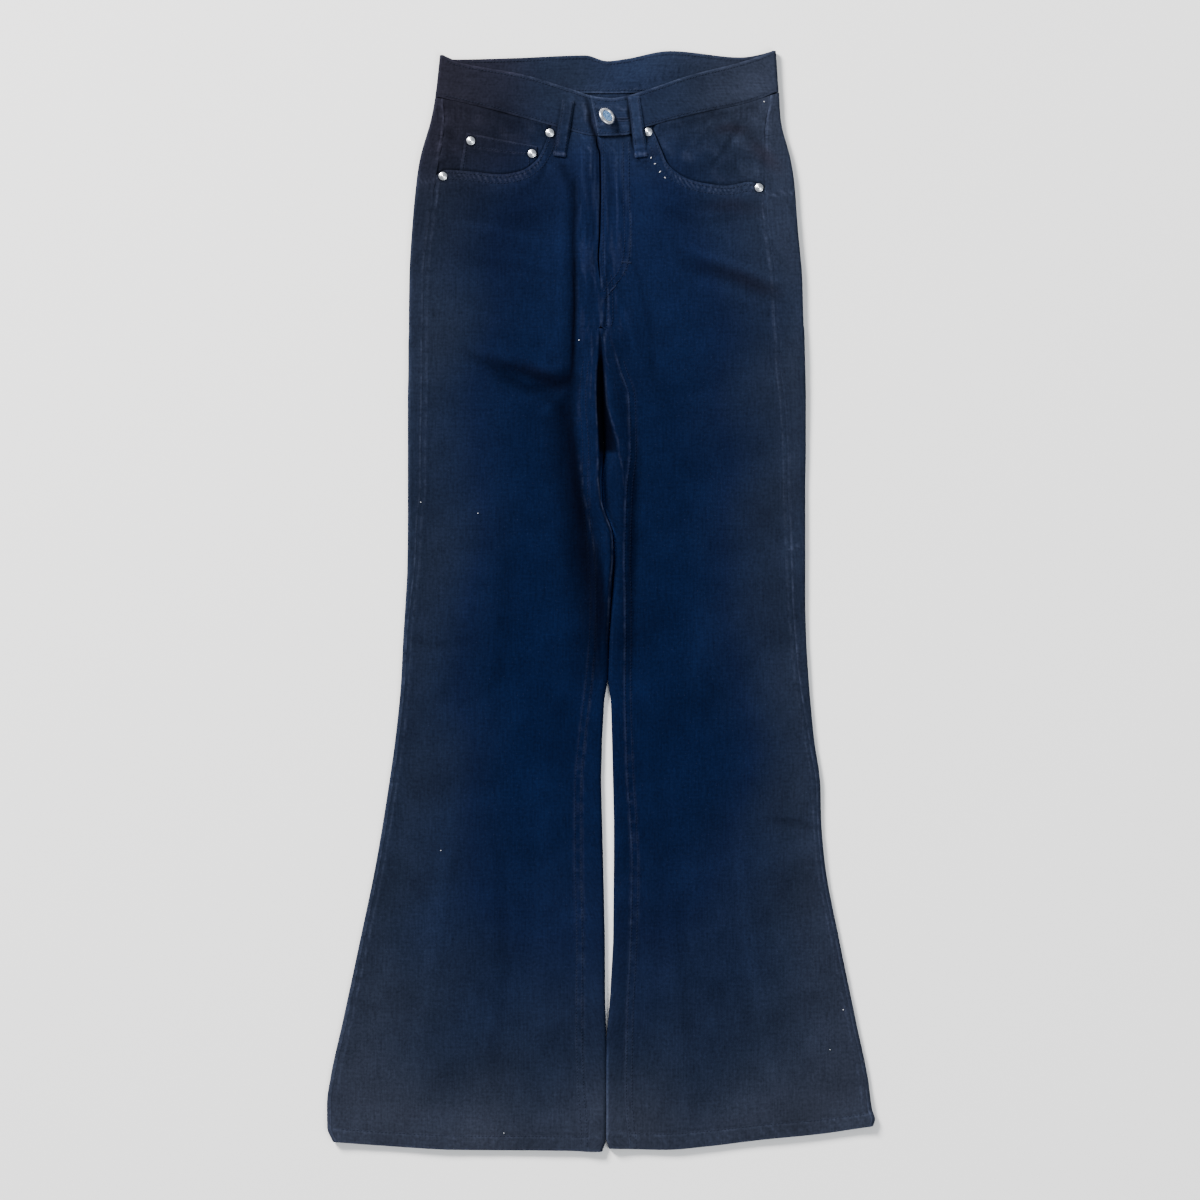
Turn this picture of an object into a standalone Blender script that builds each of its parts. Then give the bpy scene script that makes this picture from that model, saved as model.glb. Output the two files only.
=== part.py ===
"""Flared five-pocket jeans, laid flat with the front up.

The garment is built from the pieces a maker cuts and sews: panels, yokes, waistband, pocket pieces,
fly facing and belt loops as cloth walls, and the button and rivets as turned metal. Left and right
are the wearer's, so the right leg lies on the -X side.

Frame: metres, +Z up, +Y towards the waist. The origin is the middle of the underside's box.
Sizes below are in millimetres. "Down" is the distance below the highest point of the waistband, and
"out" is the distance from the centre line towards a leg's own side.
"""

from math import cos, pi, radians, sin

import bmesh
import bpy
import numpy as np
from mathutils import Matrix, Vector

MM = 0.001
LENGTH = 1045.0
HALF_LENGTH = LENGTH / 2

# Cloth and layers
CLOTH = 1.2
BAND_CLOTH = 1.9
HEM_CLOTH = 2.0
FACING_CLOTH = 1.0
LOOP_CLOTH = 1.5
GAP = 0.3
HALF_GAP = GAP / 2
HEM_DEPTH = 14.0
HEM_ROWS = 3

# The seat rests on the back pockets, so it lies this far above the surface and comes down over the fork
SEAT_LIFT = 1.5
SEAT_END = 325.0
SEAT_DOWN = 375.0

# Folded edges
FOLD_REACH = 3.2
SWELL_WIDTH = 26.0
CORNER_RADIUS = 1.45
CORNER_GROWTH = 1.1
CORNER_GROWTH_LENGTH = 150.0
CORNER_SHARE = 0.62

# Places along the centre line
FLY_END = 200.0
CROTCH = 264.0
FORK = 380.0
RIDGE_START = 250.0
RIDGE_FULL = 275.0
LEGS_MEET = FORK - 40.0
LEGS_PART = FORK + 25.0
FOLD_CLEAR = 12.0
BLEND = 175.0
HEM_BLEND = 900.0

RIGHT = -1
LEFT = 1

# Leg outline: one row for each level, with the folded outer edge, how far inside it the outseam
# lies on the front, and the front panel's inner edge (centre seam, then inseam)
LEG_COLUMNS = ("down", "outer", "seam_inset", "inseam")
RIGHT_LEG = (
    (0, 152.5, 7, 0),
    (44, 157.5, 8, 0),
    (65, 161.5, 13, 0),
    (103, 172, 18, 0),
    (122, 175, 18, 0),
    (170, 179.5, 16, 0),
    (215, 182, 14, 0),
    (261, 182.5, 14, 0),
    (264, 182.5, 14, 4.2),
    (280, 183, 14, 5.5),
    (300, 183, 14, 10.5),
    (330, 183.5, 14, 13),
    (380, 183.5, 13, 10),
    (415, 183.5, 13, 11),
    (440, 183.5, 10, 9),
    (490, 184, 8, 4),
    (520, 185.5, 6, 3),
    (560, 188, 4.5, 4),
    (600, 190, 4.5, 7.5),
    (650, 195, 4.5, 13.5),
    (700, 202, 4.5, 17.5),
    (770, 213.5, 4.5, 17.5),
    (845, 229, 4.5, 16),
    (920, 245, 4.5, 16.5),
    (975, 257, 4.5, 15),
    (1000, 260.3, 4.5, 13),
    (1022, 260, 4.5, 11.5),
    (1035.5, 254.6, 4.5, 11.5),
)
LEFT_LEG = (
    (0, 166, 7, 0),
    (44, 169, 9, 0),
    (65, 170.5, 14, 0),
    (103, 180, 25, 0),
    (125, 183.5, 28, 0),
    (170, 187, 28, 0),
    (215, 191, 26, 0),
    (261, 192.5, 25, 0),
    (264, 193, 25, 4),
    (280, 193.5, 24, 10.5),
    (300, 194, 24, 16),
    (330, 194.5, 21, 25),
    (380, 194.5, 18, 26),
    (415, 194, 17, 22.5),
    (440, 194, 16, 21.5),
    (490, 194, 14, 20.5),
    (520, 194, 13, 21.5),
    (560, 195, 11, 21.5),
    (600, 197.5, 9.5, 21),
    (650, 202, 6, 22),
    (700, 208.5, 4.8, 24),
    (727, 209, 4.5, 26),
    (770, 212.5, 4.5, 28),
    (845, 226.5, 4.5, 26.5),
    (920, 242, 4.5, 23),
    (975, 253.5, 4.5, 22),
    (1005, 257.5, 4.5, 24.5),
    (1014, 260.3, 4.5, 26),
    (1020.5, 258.4, 4.5, 26.5),
)

# How far the fly's edge wanders to the left leg's side of the centre line
FLY_LINE = ((76, -4.0), (87, -3.6), (98, -0.4), (135, 0.0), (171, -0.4), (196, -1.8), (216, -0.8), (232, 0.0))

# Where the legs meet: centre back seam, then the line where the inner thighs press together, then
# the gap between the flared legs
MIDDLE_COLUMNS = ("down", "x", "half_gap")
MIDDLE = (
    (0, 0, 0.15),
    (264, 0, 0.15),
    (340, 1.5, 0.15),
    (380, 2.6, 0.15),
    (407, 0.4, 0.15),
    (432, 1.5, 0.15),
    (446, 7, 0.15),
    (458, 11.3, 0.15),
    (482, 12, 0.15),
    (520, 9.5, 0.15),
    (560, 7, 0.15),
    (598, 6.4, 0.15),
    (616, 6.2, 3.2),
    (654, 5.7, 4.8),
    (692, 5.7, 5.7),
    (730, 6.6, 5.7),
    (768, 7.1, 5.2),
    (845, 7.6, 4),
    (900, 6.2, 2.4),
    (932, 5, 0.15),
    (1045, 4.3, 0.15),
)

# Inner thigh ridge: how far outside the inner edge its top lies, its height above the surface, how
# wide its outer slope is, and the height of the valley floor or pressed wall beside it
RIDGE_COLUMNS = ("down", "inset", "height", "width", "floor")
RIGHT_RIDGE = (
    (264, 2.2, 6.3, 16, 5.7),
    (282, 3.2, 7.8, 20, 5.9),
    (304, 4.5, 11, 25, 4.6),
    (340, 6, 14, 30, 4.6),
    (380, 5.5, 15, 34, 4.6),
    (430, 3.5, 15.5, 36, 6),
    (490, 4.5, 14, 34, 6),
    (545, 5.5, 11, 30, 5),
    (600, 6, 7, 25, 3.6),
    (640, 3.4, 5.6, 20, 2.9),
    (985, 3.2, 5.6, 18, 2.9),
    (1006, 3.6, 7.0, 18, 3.6),
    (1045, 3.6, 7.0, 18, 3.6),
)
LEFT_RIDGE = (
    (264, 2.4, 6.3, 16, 5.7),
    (282, 3.4, 7.5, 16, 5.6),
    (304, 5, 9.5, 18, 4.6),
    (340, 8, 11.5, 20, 4.6),
    (380, 13, 11.5, 20, 4.6),
    (407, 17, 10.5, 20, 4.4),
    (430, 15, 10, 20, 4.4),
    (452, 7, 9.5, 20, 4.2),
    (490, 5, 9, 20, 4),
    (545, 5, 8, 20, 3.8),
    (600, 6, 6.5, 20, 3.2),
    (640, 3.4, 5.6, 20, 2.9),
    (985, 3.2, 5.6, 18, 2.9),
    (1006, 3.6, 7.0, 18, 3.6),
    (1045, 3.6, 7.0, 18, 3.6),
)

# Height of the front's outer face above the surface, away from folds
STACK_COLUMNS = ("down", "height", "swell")
STACK = (
    (0, 6.0, 1.4),
    (260, 6.0, 1.4),
    (330, 5.2, 1.6),
    (420, 3.7, 1.9),
    (900, 3.5, 1.8),
    (1045, 3.5, 1.2),
)
HEM_RISE = 2.1

# Soft folds pressed into the front: x and down of both ends, then half width and height
FOLDS = (
    (-44, 110, -42, 330, 17, 2.2),
    (-118, 292, -40, 322, 18, 2.6),
    (-104, 258, -52, 276, 14, 1.4),
    (82, 192, 166, 232, 13, 1.6),
    (60, 318, 128, 300, 16, 1.2),
    (-150, 520, -60, 548, 20, 1.0),
    (60, 480, 150, 508, 20, 1.0),
    (-205, 770, -120, 960, 26, 1.4),
    (110, 760, 190, 970, 26, 1.4),
)

# Waistband edges, down for each x
BAND_TOP = ((-153, 4), (-139, 10), (-72, 23), (-29, 36), (-3, 44), (10, 45), (24, 43), (38, 39), (85, 23),
            (132, 11), (166, 0))
BAND_BOTTOM = ((-157.5, 44), (-141, 47), (-115, 53), (-67, 65.5), (-43, 72), (-1, 81), (23, 80), (45, 72),
               (94, 59), (132, 51), (169, 39.5))
BACK_TOP = ((-153, 4), (-139, 8), (-77, 6.5), (-15, 4), (6, 9.5), (23, 7.5), (66, 0), (132, 6), (166, 0))
BACK_BOTTOM = ((-157.5, 44), (0, 40), (169, 39.5))
UNDER_END = 30.0
TAB_END_TOP = -10.5
TAB_END_BOTTOM = -4.0
TAB_FLAT = 33.0
TAB_RAMP_END = 62.0
BAND_RISE = 0.3
BAND_SIDE = 170.0
BAND_RIGHT_COLUMNS = (UNDER_END, 14, 0, -15, -30, -46, -70, -94, -118, -140)
BAND_LEFT_COLUMNS = (152, 132, 108, 84, TAB_RAMP_END, 47, TAB_FLAT, 12, TAB_END_TOP)
BAND_BACK_ENDS = (-141.0, 153.0)
BAND_BACK_COLUMNS = 11
BAND_SHARES = (0.0, 0.5, 1.0)

# Front pocket mouths: down for each distance out, and how far the facing reaches below
RIGHT_MOUTH = ((47.5, 73), (55, 93), (62, 104.5), (76, 114), (95, 117.3), (124, 114.5), (147, 113),
               (158, 118.5))
LEFT_MOUTH = ((48.5, 74), (56, 91), (63, 107), (74, 117), (85, 122.5), (103, 126.5), (119, 128),
              (141, 124.5), (156, 130))
MOUTH_LIFT = 1.3
MOUTH_FLAT = 13.0
MOUTH_FADE = 27.0
MOUTH_START = 53.0
MOUTH_FADE_OUT = 8.0
FACING_UNDERLAP = 11.0
FACING_GRID = (9, 5)

# Fly facing: its inner edge, width, and how much narrower its lower end is
FLY_FACING_START = -8.0
FLY_FACING_WIDTH = 34.0
FLY_FACING_TAPER = 10.0
FLY_FACING_TAPER_FROM = 0.75
FLY_FACING_GRID = (4, 7)

# Hem edges: down for each distance out
RIGHT_HEM = ((-10, 1044), (6, 1045), (30, 1044), (140, 1043), (195, 1040), (255, 1035.5))
LEFT_HEM = ((-10, 1042), (6.7, 1042), (62, 1043), (99, 1040), (153, 1033.5), (208, 1028), (258.4, 1020.5))

# Coin pocket on the right facing, corners out and down
COIN_TOP_OUTER = (128.0, 77.5)
COIN_TOP_INNER = (61.0, 90.5)
COIN_LOW_OUTER = 135.5
COIN_LOW_INNER = 60.5
COIN_UNDERLAP = 7.0
COIN_GRID = (6, 4)

# Yoke: its upper edge at the side, its seam on the back, and where the rows below it run level again
YOKE_TOP = 44.0
YOKE_SIDE = 78.0
YOKE_CENTRE = 112.0
YOKE_ROWS = 3
BACK_TOP_ROW = 98.0
YOKE_EASED = 200.0

# Back pockets
POCKET_INNER_OUT = 34.0
POCKET_TOP = 146.0
POCKET_TOP_WIDTH = 138.0
POCKET_LOW_WIDTH = 116.0
POCKET_SIDE = 124.0
POCKET_POINT = 146.0
POCKET_LEAN = 6.0

# Belt loops: top and bottom ends of the middle line, and width
LOOP_WIDTH = 12.5
FRONT_LOOPS = {
    "right": ((-31.0, 47.0), (-39.5, 100.5)),
    "left": ((30.5, 43.5), (38.5, 101.0)),
}
BACK_LOOPS = {"right": -104.0, "centre": 0.0, "left": 108.0}
BACK_LOOP_TOP = 12.0
BACK_LOOP_BOTTOM = 58.0
LOOP_BOW = 0.9
LOOP_BOW_SHARE = 0.8
LOOP_LEAVES_BAND = (3.0, 14.0)
LOOP_ROWS = 8
LOOP_EDGE = 0.3

# Button, tipped on its shank so that its face leans up the left front, and rivets. Each profile is
# a row of radii and heights, from the top of the axis round to its foot
BUTTON_X = 4.9
BUTTON_DOWN = 63.4
BUTTON_TILT = 46.0
BUTTON_LEAN = (0.818, 0.575)
BUTTON_STEPS = 28
BUTTON_PROFILE = (
    (0, 2.6),
    (5.4, 2.3),
    (6.3, 3.05),
    (8.2, 2.8),
    (9.2, 1.5),
    (8.6, 0.45),
    (4.6, 0.2),
    (2.4, -0.6),
    (2.4, -5.5),
    (0, -5.5),
)
RIVET_RADIUS = 4.0
RIVET_STEPS = 14
RIVET_PROFILE = (
    (0, 1.7),
    (1.8, 1.55),
    (3.2, 1.05),
    (RIVET_RADIUS, 0.35),
    (RIVET_RADIUS, 0.0),
    (0, 0.0),
)
RIVETS = {
    "coin_outer": (-123.5, 85.5),
    "coin_inner": (-65.5, 97.5),
    "right_inner": (-48.5, 78.0),
    "right_outer": (-150.0, 119.0),
    "left_inner": (44.7, 77.0),
    "left_outer": (150.0, 130.0),
}

# Grid densities
STATIONS = (200, 230, 261, 264, 282, 304, 330, 355, 380, 400, 420, 438, 452, 468, 490, 520, 555, 595, 632,
            670, 710, 750, 790, 830, 870, 905, 940, 975, 1002)
TOP_STEPS = (0.0, 0.22, 0.55, 1.0)
FRONT_STEPS = (0.0, 0.10, 0.20, 0.305, 0.355, 0.40, 0.46, 0.57, 0.69, 0.80, 0.90, 1.0)
ARC_CELLS = 5
BOTTOM_CELLS = 6
CORNER_CELLS = 2
RIDGE_CELLS = 5
STRIP_CELLS = 2
INNER_STRIP = 0.4
EVEN_OUT_TURNS = 4

# What each side uses
LEGS = {RIGHT: RIGHT_LEG, LEFT: LEFT_LEG}
RIDGES = {RIGHT: RIGHT_RIDGE, LEFT: LEFT_RIDGE}
MOUTHS = {RIGHT: RIGHT_MOUTH, LEFT: LEFT_MOUTH}
HEMS = {RIGHT: RIGHT_HEM, LEFT: LEFT_HEM}
SIDE_NAMES = {RIGHT: "right", LEFT: "left"}

INDIGO = (0.012, 0.026, 0.072, 1.0)
DARK_INDIGO = (0.010, 0.018, 0.050, 1.0)
STEEL = (0.62, 0.63, 0.65, 1.0)


# ---------------------------------------------------------------------------------- curves and heights


def smooth_step(value, low, high):
    """0 below low, 1 above high, with an even S between them."""
    part = np.clip((value - low) / (high - low), 0.0, 1.0)
    return part * part * (3.0 - 2.0 * part)


def bump(distance):
    """A soft cross-section: 1 at distance 0, level there, and 0 from distance 1 on."""
    return 0.5 + 0.5 * np.cos(pi * np.clip(np.abs(distance), 0.0, 1.0))


def curve(rows, at, column=1):
    """A smooth curve through a table's rows, from its first column to the given one. It never
    overshoots: its slope is level at each row where the values turn."""
    table = np.array(rows, dtype=float)
    knots, values = table[:, 0], table[:, column]
    rises = np.diff(values) / np.diff(knots)
    before, after = rises[:-1], rises[1:]
    same_way = before * after > 0.0
    between = 2.0 * before * after / np.where(same_way, before + after, 1.0)
    slopes = np.concatenate((rises[:1], np.where(same_way, between, 0.0), rises[-1:]))
    at = np.clip(np.asarray(at, dtype=float), knots[0], knots[-1])
    low = np.clip(np.searchsorted(knots, at) - 1, 0, len(knots) - 2)
    span = knots[low + 1] - knots[low]
    part = (at - knots[low]) / span
    rest = 1.0 - part
    return (
        values[low] * rest * rest * (1.0 + 2.0 * part)
        + values[low + 1] * part * part * (1.0 + 2.0 * rest)
        + slopes[low] * span * part * rest * rest
        - slopes[low + 1] * span * part * part * rest
    )


def line(rows, at, column=1):
    """Straight stretches between a table's rows, from its first column to the given one."""
    table = np.array(rows, dtype=float)
    return np.interp(at, table[:, 0], table[:, column])


def leg(side, column, down):
    """A column of the leg table at a level."""
    return curve(LEGS[side], down, LEG_COLUMNS.index(column))


def ridge(side, column, down):
    """A column of the inner thigh table at a level."""
    return line(RIDGES[side], down, RIDGE_COLUMNS.index(column))


def meeting(column, down):
    """A column of the table of the legs' meeting line at a level."""
    return line(MIDDLE, down, MIDDLE_COLUMNS.index(column))


def stack(column, down):
    """A column of the table of the layers' height at a level."""
    return line(STACK, down, STACK_COLUMNS.index(column))


def last_level(side):
    """Nominal level of a leg's last row, at the hem's outer corner."""
    return LEGS[side][-1][0]


def inner_edge(side, down):
    """How far out a leg's inner edge lies: negative past the centre line."""
    return side * meeting("x", down) + meeting("half_gap", down)


def front_edges(side, down):
    """How far out the front panel's edges lie: the fly's edge, centre seam or inseam, and the outseam."""
    inner = leg(side, "inseam", down) + side * curve(FLY_LINE, down) + HALF_GAP
    outer = leg(side, "outer", down) - leg(side, "seam_inset", down) - HALF_GAP
    return inner, outer


def bottom_height(down):
    """Height of the underside: the seat lies on the back pockets, the legs on the surface."""
    return SEAT_LIFT * (1.0 - smooth_step(down, SEAT_END, SEAT_DOWN))


def fold_height(x, down):
    """Sum of the soft folds, each full along its middle and fading to both ends."""
    total = np.zeros(np.broadcast(x, down).shape)
    for from_x, from_down, to_x, to_down, width, height in FOLDS:
        run_x, run_down = to_x - from_x, to_down - from_down
        length = np.hypot(run_x, run_down)
        along = ((x - from_x) * run_x + (down - from_down) * run_down) / length
        across = ((x - from_x) * run_down - (down - from_down) * run_x) / length
        total += height * bump(across / width) * bump((along - length / 2) / (length / 2 + width))
    return total


def top_height(side, out, down):
    """Height of the front's outer face: the stack of layers, swelling towards the folded edge, with
    the inner thigh ridge and the soft folds on it."""
    out, down = np.broadcast_arrays(np.asarray(out, dtype=float), np.asarray(down, dtype=float))
    hem = last_level(side)
    base = stack("height", down) + HEM_RISE * smooth_step(down, hem - 3 * HEM_DEPTH, hem - HEM_DEPTH)
    height = base + stack("swell", down) * bump((leg(side, "outer", down) - out) / SWELL_WIDTH)
    crest = inner_edge(side, down) + ridge(side, "inset", down)
    rise = np.maximum(ridge(side, "height", down) - base, 0.0) * smooth_step(down, RIDGE_START, RIDGE_FULL)
    height = height + rise * bump(np.maximum(out - crest, 0.0) / ridge(side, "width", down))
    return height + fold_height(side * out, down) * smooth_step(out - crest, 0.0, FOLD_CLEAR)


def mouth(side, out):
    """Level of the front pocket's mouth."""
    return curve(MOUTHS[side], out)


def front_top(side, out):
    """Level of the front panel's upper edge: under the waistband, then along the pocket mouth."""
    band = curve(BAND_BOTTOM, side * out) + GAP
    return np.where(out < MOUTHS[side][0][0], band, mouth(side, out))


def mouth_lift(side, out, down):
    """The hemmed mouth stands over the facing and the coin pocket."""
    below = down - mouth(side, out)
    beside = smooth_step(out, MOUTH_START - MOUTH_FADE_OUT, MOUTH_START)
    return MOUTH_LIFT * beside * (1.0 - smooth_step(below, MOUTH_FLAT, MOUTH_FADE))


def front_height(side, out, down):
    """Height of the front panel's outer face."""
    return top_height(side, out, down) + mouth_lift(side, out, down)


def tab_lift(x):
    """The left end of the waistband lies over the right end."""
    return (BAND_CLOTH + GAP) * (1.0 - smooth_step(x, TAB_FLAT, TAB_RAMP_END))


def band_height(side, x, down):
    """Height of the waistband's outer face on the front."""
    height = top_height(side, side * x, down) + BAND_RISE
    return height + (tab_lift(x) if side == LEFT else 0.0)


# ------------------------------------------------------------------------------------------ building


def principled(name, colour, roughness, metallic=0.0):
    """A plain Principled material."""
    material = bpy.data.materials.new(name)
    material.use_nodes = True
    shader = material.node_tree.nodes["Principled BSDF"]
    shader.inputs["Base Color"].default_value = colour
    shader.inputs["Roughness"].default_value = roughness
    shader.inputs["Metallic"].default_value = metallic
    return material


def add_object(name, mesh, material):
    """Links a mesh to the scene in the garment's collection."""
    thing = bpy.data.objects.new(name, mesh)
    bpy.data.collections["flared_jeans"].objects.link(thing)
    thing.data.materials.append(material)
    return thing


def spot(x, down, z):
    """Points in metres from x, down and height in millimetres."""
    x, down, z = np.broadcast_arrays(x, down, z)
    return np.stack((x, HALF_LENGTH - down, z), axis=-1) * MM


def sheet(name, points, material, thickness, cells=None, hem_rows=0):
    """A cloth wall: an open grid of its outer face, with Solidify inwards.

    points has one row for each level and one column for each place round the section, running so
    that rows by columns face outwards. cells marks the grid's cells that are cloth. The last
    hem_rows rows carry the full hem thickness.
    """
    rows, columns = points.shape[:2]
    if cells is None:
        cells = np.ones((rows - 1, columns - 1), dtype=bool)
    shell = bmesh.new()
    vertices = {}
    for row, column in zip(*np.nonzero(cells)):
        corners = ((row, column), (row + 1, column), (row + 1, column + 1), (row, column + 1))
        for corner in corners:
            if corner not in vertices:
                vertices[corner] = shell.verts.new(points[corner])
        shell.faces.new([vertices[corner] for corner in corners])
    order = list(vertices)
    shell.verts.index_update()
    mesh = bpy.data.meshes.new(name)
    shell.to_mesh(mesh)
    shell.free()
    mesh.shade_smooth()
    thing = add_object(name, mesh, material)
    wall = thing.modifiers.new("wall", "SOLIDIFY")
    wall.offset = -1.0
    wall.thickness = thickness * MM
    if hem_rows:
        group = thing.vertex_groups.new(name="hem")
        group.add([n for n, (row, _) in enumerate(order) if row >= rows - hem_rows], 1.0, "REPLACE")
        wall.thickness = HEM_CLOTH * MM
        wall.vertex_group = "hem"
        wall.thickness_vertex_group = thickness / HEM_CLOTH
    return thing


def spread(start, end, count):
    """count cells between two columns of values, as an array with the new axis last."""
    part = np.linspace(0.0, 1.0, count + 1)
    start, end = np.asarray(start, dtype=float), np.asarray(end, dtype=float)
    return start[..., None] * (1.0 - part) + end[..., None] * part


def joined(parts):
    """Joins stretches that share their end columns."""
    return np.concatenate([parts[0]] + [part[..., 1:] for part in parts[1:]], axis=-1)


def outer_fold(side, down):
    """The folded outer edge, from the front round to the underside: out and height arrays."""
    angle = np.linspace(pi / 2, -pi / 2, ARC_CELLS + 1)
    edge = leg(side, "outer", down)
    high = top_height(side, edge - FOLD_REACH, down)
    low = bottom_height(down)
    middle, half = (high + low) / 2, (high - low) / 2
    out = (edge - FOLD_REACH)[:, None] + FOLD_REACH * np.cos(angle)
    return out, middle[:, None] + half[:, None] * np.sin(angle)


def inner_fold(side, down):
    """The inner edge, from the underside up to the ridge's top: out and height arrays.

    Below the fork it is a rounded lower corner, a pressed wall and a quarter ellipse over the ridge.
    Above it the ridge falls in an S to the valley floor, and the corner's cells are left out.
    """
    edge = inner_edge(side, down)
    low = bottom_height(down)
    floor = ridge(side, "floor", down)
    crest = edge + ridge(side, "inset", down)
    high = top_height(side, crest, down)
    radius = CORNER_RADIUS + CORNER_GROWTH * smooth_step(down, FORK, FORK + CORNER_GROWTH_LENGTH)
    radius = np.minimum(radius, (floor - low) * CORNER_SHARE)
    turn = np.linspace(0.0, pi / 2, CORNER_CELLS + 1)
    corner_out = edge[:, None] + radius[:, None] * (1.0 - np.sin(turn))
    corner_high = low[:, None] + radius[:, None] * (1.0 - np.cos(turn))
    part = np.linspace(0.0, 1.0, RIDGE_CELLS + 1)
    legs_apart = smooth_step(down, LEGS_MEET, LEGS_PART)[:, None]
    arch_out, arch_high = 1.0 - np.cos(part * pi / 2), np.sin(part * pi / 2)
    valley_out, valley_high = part, smooth_step(part, 0.1, 1.0)
    share_out = legs_apart * arch_out + (1.0 - legs_apart) * valley_out
    share_high = legs_apart * arch_high + (1.0 - legs_apart) * valley_high
    ridge_out = edge[:, None] + (crest - edge)[:, None] * share_out
    ridge_high = floor[:, None] + (high - floor)[:, None] * share_high
    return corner_out, corner_high, ridge_out, ridge_high


def back_section(side, nominal, down):
    """The back's outer face at each nominal level, from the outseam round to the inseam.

    Returns the out, down and height arrays, and the column numbers where the underside and the
    pressed wall end.
    """
    seam = leg(side, "outer", nominal) - leg(side, "seam_inset", nominal) + HALF_GAP
    fold_out, fold_high = outer_fold(side, nominal)
    corner_out, corner_high, ridge_out, ridge_high = inner_fold(side, nominal)
    strip_out = spread(seam, fold_out[:, 0], STRIP_CELLS)
    strip_high = top_height(side, strip_out, nominal[:, None])
    below_fork = (nominal >= FORK)[:, None]
    end_out = np.where(below_fork, corner_out[:, :1], inner_edge(side, nominal)[:, None])
    under_out = spread(fold_out[:, -1], end_out[:, 0], BOTTOM_CELLS)
    under_high = np.broadcast_to(bottom_height(nominal)[:, None], under_out.shape)
    corner_out = np.concatenate((end_out, corner_out[:, 1:]), axis=1)
    inseam = np.maximum(leg(side, "inseam", nominal) - HALF_GAP, ridge_out[:, -1] + INNER_STRIP)
    inner_out = spread(ridge_out[:, -1], inseam, STRIP_CELLS)
    inner_high = top_height(side, inner_out, nominal[:, None])
    out = np.concatenate((joined((strip_out, fold_out, under_out, corner_out)),
                          joined((ridge_out, inner_out))), axis=1)
    high = np.concatenate((joined((strip_high, fold_high, under_high, corner_high)),
                           joined((ridge_high, inner_high))), axis=1)
    under_end = STRIP_CELLS + ARC_CELLS + BOTTOM_CELLS
    wall_end = under_end + CORNER_CELLS
    return out, down(out, nominal[:, None]), high, under_end, wall_end


def leg_levels(side):
    """Nominal levels of a leg's rows: the pocket zone, the stations and the hem."""
    corner = MOUTHS[side][-1][1]
    top = corner + (BLEND - corner) * np.array(TOP_STEPS)
    last = last_level(side)
    return np.concatenate((top, STATIONS, (last - HEM_DEPTH, last - HEM_DEPTH / 2, last)))


def hem_warp(side, out, nominal):
    """Brings the lowest rows onto the hem's curve."""
    last = last_level(side)
    share = np.clip((nominal - HEM_BLEND) / (last - HEM_BLEND), 0.0, 1.0)
    return nominal + share * (curve(HEMS[side], out) - last)


def yoke_seam(side, out):
    """Level of the yoke seam, lower at the centre back."""
    width = leg(side, "outer", YOKE_SIDE)
    return YOKE_SIDE + (YOKE_CENTRE - YOKE_SIDE) * (1.0 - np.clip(out / width, 0.0, 1.0))


def build_back_panel(side, material):
    """Back panel with its folded outer edge, underside, inner edge and the strips that come round to
    the two seams on the front. Above the fork it is slit along the centre back seam."""
    levels = np.concatenate(((YOKE_SIDE + GAP, BACK_TOP_ROW), leg_levels(side)))

    def down(out, nominal):
        yoke_shift = yoke_seam(side, np.maximum(out, 0.0)) - YOKE_SIDE
        share = np.clip((YOKE_EASED - nominal) / (YOKE_EASED - YOKE_SIDE), 0.0, 1.0)
        return hem_warp(side, out, nominal) + yoke_shift * share

    out, level, high, under_end, wall_end = back_section(side, levels, down)
    rows, columns = out.shape
    cells = np.ones((rows - 1, columns - 1), dtype=bool)
    starts = levels[:-1]
    cells[starts < FORK - 1.0, under_end:wall_end + 1] = False
    cells[starts < CROTCH - 1.0, wall_end + 1:] = False
    points = spot(side * out, level, high)
    if side == RIGHT:
        points, cells = points[:, ::-1], cells[:, ::-1]
    return sheet("back_panel_" + SIDE_NAMES[side], points, material, CLOTH, cells, hem_rows=HEM_ROWS)


def build_yoke(side, material):
    """Back yoke between the waistband and the back panel, folded round the side to the outseam."""
    nominal = np.linspace(YOKE_TOP + GAP, YOKE_SIDE, YOKE_ROWS)

    def down(out, level):
        column = np.arange(out.shape[1])
        turned_under = np.clip((column - STRIP_CELLS) / ARC_CELLS, 0.0, 1.0)
        front_edge, back_edge = curve(BAND_BOTTOM, side * out), curve(BACK_BOTTOM, side * out)
        top = front_edge + (back_edge - front_edge) * turned_under + GAP
        share = (level - nominal[0]) / (nominal[-1] - nominal[0])
        return top + (yoke_seam(side, out) - top) * share

    out, level, high, under_end, _ = back_section(side, nominal, down)
    out, level, high = out[:, :under_end + 1], level[:, :under_end + 1], high[:, :under_end + 1]
    points = spot(side * out, level, high)
    if side == RIGHT:
        points = points[:, ::-1]
    return sheet("yoke_" + SIDE_NAMES[side], points, material, CLOTH)


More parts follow.
